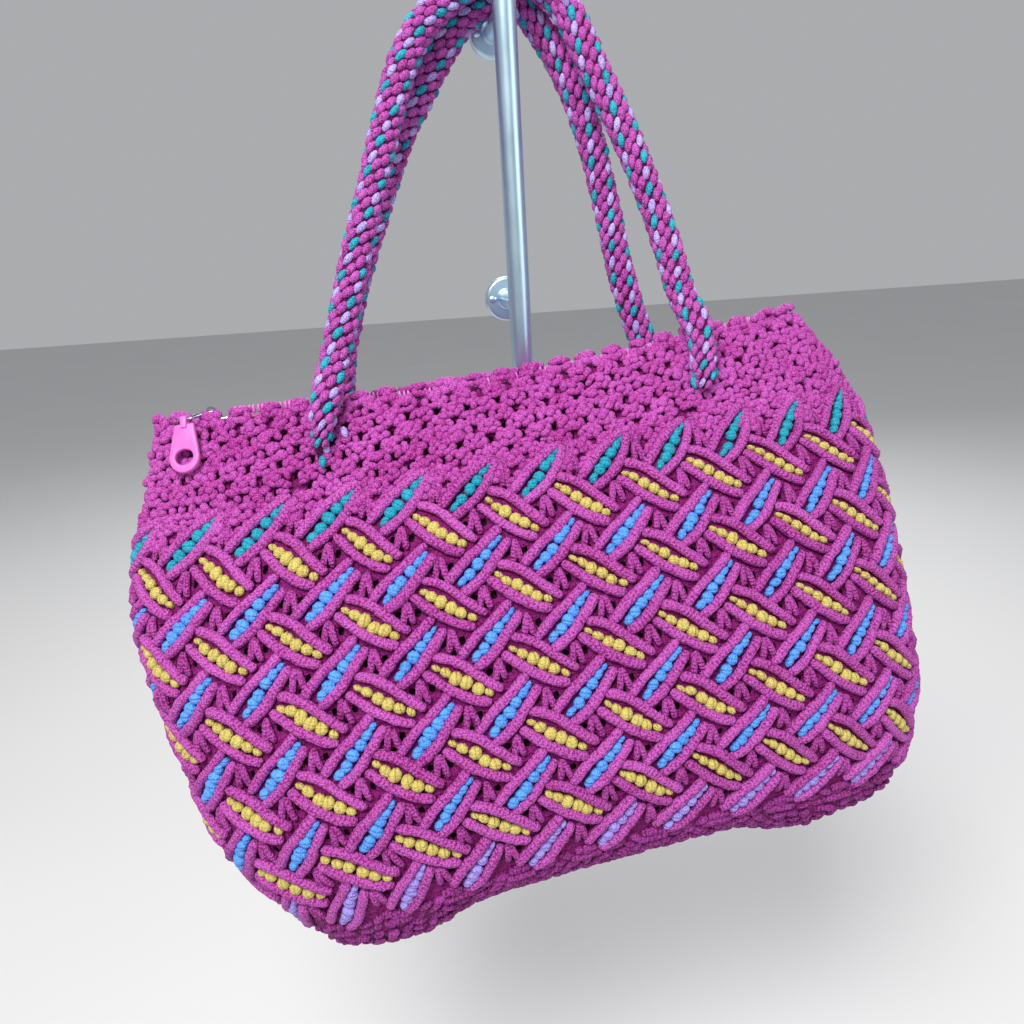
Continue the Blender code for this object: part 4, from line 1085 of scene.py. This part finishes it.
# The wire goes out from the lug on one side, through the puller's tongue and back on the other side.
loop = [lug_hole, lug_hole + run * 1.7 + across * 1.9, lug_hole + run * 7.5 + across * 2.9,
        tongue_hole + puller_side * 3.5 - run * 0.9, tongue_hole + puller_side * 2.6, tongue_hole,
        tongue_hole - puller_side * 2.6, tongue_hole - puller_side * 3.5 - run * 0.9,
        lug_hole + run * 7.5 - across * 2.9, lug_hole + run * 1.7 - across * 1.9]
line, _ = follow(loop, 0.55, closed=True)
ahead, side, over = carried(line[:-1])
bm = bmesh.new()
rings = []
for spot, ways in zip(line, zip(side, over, ahead)):
    made = bmesh.ops.create_circle(bm, segments=10, radius=WIRE_RADIUS * MM)["verts"]
    way = Matrix(ways).transposed().to_4x4()
    way.translation = Vector(spot) * MM
    bmesh.ops.transform(bm, matrix=way, verts=made)
    rings.append(list(made))
for one, two in zip(rings, rings[1:] + rings[:1]):
    edges = [e for e in bm.edges if any(e.verts[0] in ring and e.verts[1] in ring for ring in (one, two))]
    bmesh.ops.bridge_loops(bm, edges=edges)
place = Matrix(bag_place.tolist())
place.translation *= MM
bmesh.ops.transform(bm, matrix=place, verts=bm.verts)
bmesh.ops.recalc_face_normals(bm, faces=bm.faces)
piece(bm, "wire_ring", plated, "wire_metal", "zip_wire_loop", crease=80.0)


def raised(bm, faces, height):
    """Raise flat faces into a slab, and give the corners of its upper side."""
    top = corners(bmesh.ops.extrude_face_region(bm, geom=faces)["geom"])
    bmesh.ops.translate(bm, vec=(0, 0, height), verts=top)
    return top


bm = bmesh.new()
bmesh.ops.create_cube(bm, size=1.0, matrix=Matrix.Diagonal((10.5, 8.0, 5.2, 1)))
for v in bm.verts:
    v.co.y *= 1.0 if v.co.x > 0 else 0.72      # the body narrows to where the rows of teeth come out as one
rounded(bm, bm.edges[:], 0.9, 3)
lug_rings = [bmesh.ops.create_circle(bm, segments=24, radius=r)["verts"] for r in LUG_RADII]
for v in lug_rings[0]:
    if v.co.y < -1.0:
        v.co.y -= 2.0      # the lug stands on the body
lug_verts = [v for ring in lug_rings for v in ring]
lug_faces = bmesh.ops.bridge_loops(bm, edges=list({e for v in lug_verts for e in v.link_edges}))["faces"]
lug_verts += raised(bm, lug_faces, LUG_THICK)
upright = Matrix.Translation((LUG_RIGHT, LUG_THICK / 2, LUG_UP)) @ Matrix.Rotation(math.radians(90), 4, "X")
bmesh.ops.transform(bm, matrix=upright, verts=lug_verts)
bmesh.ops.recalc_face_normals(bm, faces=bm.faces)
on_tapes = place @ Matrix.Translation(Vector(slide_at) * MM) @ Matrix.Diagonal((MM, MM, MM, 1))
bmesh.ops.transform(bm, matrix=on_tapes, verts=bm.verts)
piece(bm, "slider_body", plated, "wire_metal", "zip_slider")

puller_plastic, start, feed = new_finish("puller_plastic", Coat_Roughness=0.2, Specular_IOR_Level=0.35)
scuff = start.noise(start.ground(), 320.0, 3.0)
feed("Base Color", mixed(scuff, (0.62, 0.115, 0.45), (0.69, 0.145, 0.52)))
feed("Roughness", scuff * 0.2 + 0.35)
feed("Coat Weight", 0.16 - scuff * 0.12)
feed("Normal", start.bump(scuff, 0.15, 0.0002))
DISC_HALF, NECK_HALF, NECK_LONG, DISC_DOWN = 6.6, 4.5, 13.6, 17.6
bm = bmesh.new()
outer = bmesh.ops.create_circle(bm, segments=40, radius=6.8)["verts"]
inner = bmesh.ops.create_circle(bm, segments=40, radius=1.0)["verts"]
for v in outer:
    # The disc runs up into a neck that is a little narrower than it.
    up = v.co.normalized().y
    if up > 0.25:
        lift = (up - 0.25) / 0.75
        half_wide = DISC_HALF + (NECK_HALF - DISC_HALF) * min(1.0, lift * 1.15)
        v.co.y = 1.7 + lift ** 0.9 * NECK_LONG
        v.co.x = math.copysign(half_wide, v.co.x) if lift < 0.99 else 0.0
bmesh.ops.scale(bm, vec=(4.1, 3.5, 1.0), verts=inner)
bmesh.ops.translate(bm, vec=(0, 0.2, 0), verts=inner)
bmesh.ops.bridge_loops(bm, edges=bm.edges[:])
bmesh.ops.translate(bm, vec=(0, -DISC_DOWN, -PULLER_THICK / 2), verts=bm.verts)
raised(bm, bm.faces[:], PULLER_THICK)
bmesh.ops.recalc_face_normals(bm, faces=bm.faces)
rounded(bm, [e for e in bm.edges if len(e.link_faces) == 2 and e.calc_face_angle(0.0) > 1.0], 0.6, 3)
# The tongue that the wire goes through.
block = Matrix.Translation((0, -1.7, 0)) @ Matrix.Diagonal((2.8, 5.4, 3.8, 1))
tongue = bmesh.ops.create_cube(bm, size=1.0, matrix=block)["verts"]
rounded(bm, list({e for v in tongue for e in v.link_edges}), 0.5, 2)
bmesh.ops.scale(bm, vec=(MM, MM, MM), verts=bm.verts)
hang = (place @ Matrix.Translation(Vector(tongue_hole) * MM) @ Matrix.Rotation(PULLER_TURN, 4, "Z")
        @ Matrix.Rotation(PULLER_TILT, 4, "X"))
bmesh.ops.transform(bm, matrix=hang, verts=bm.verts)
piece(bm, "pull_tab", puller_plastic, "puller_pink", "zip_puller", crease=40.0)
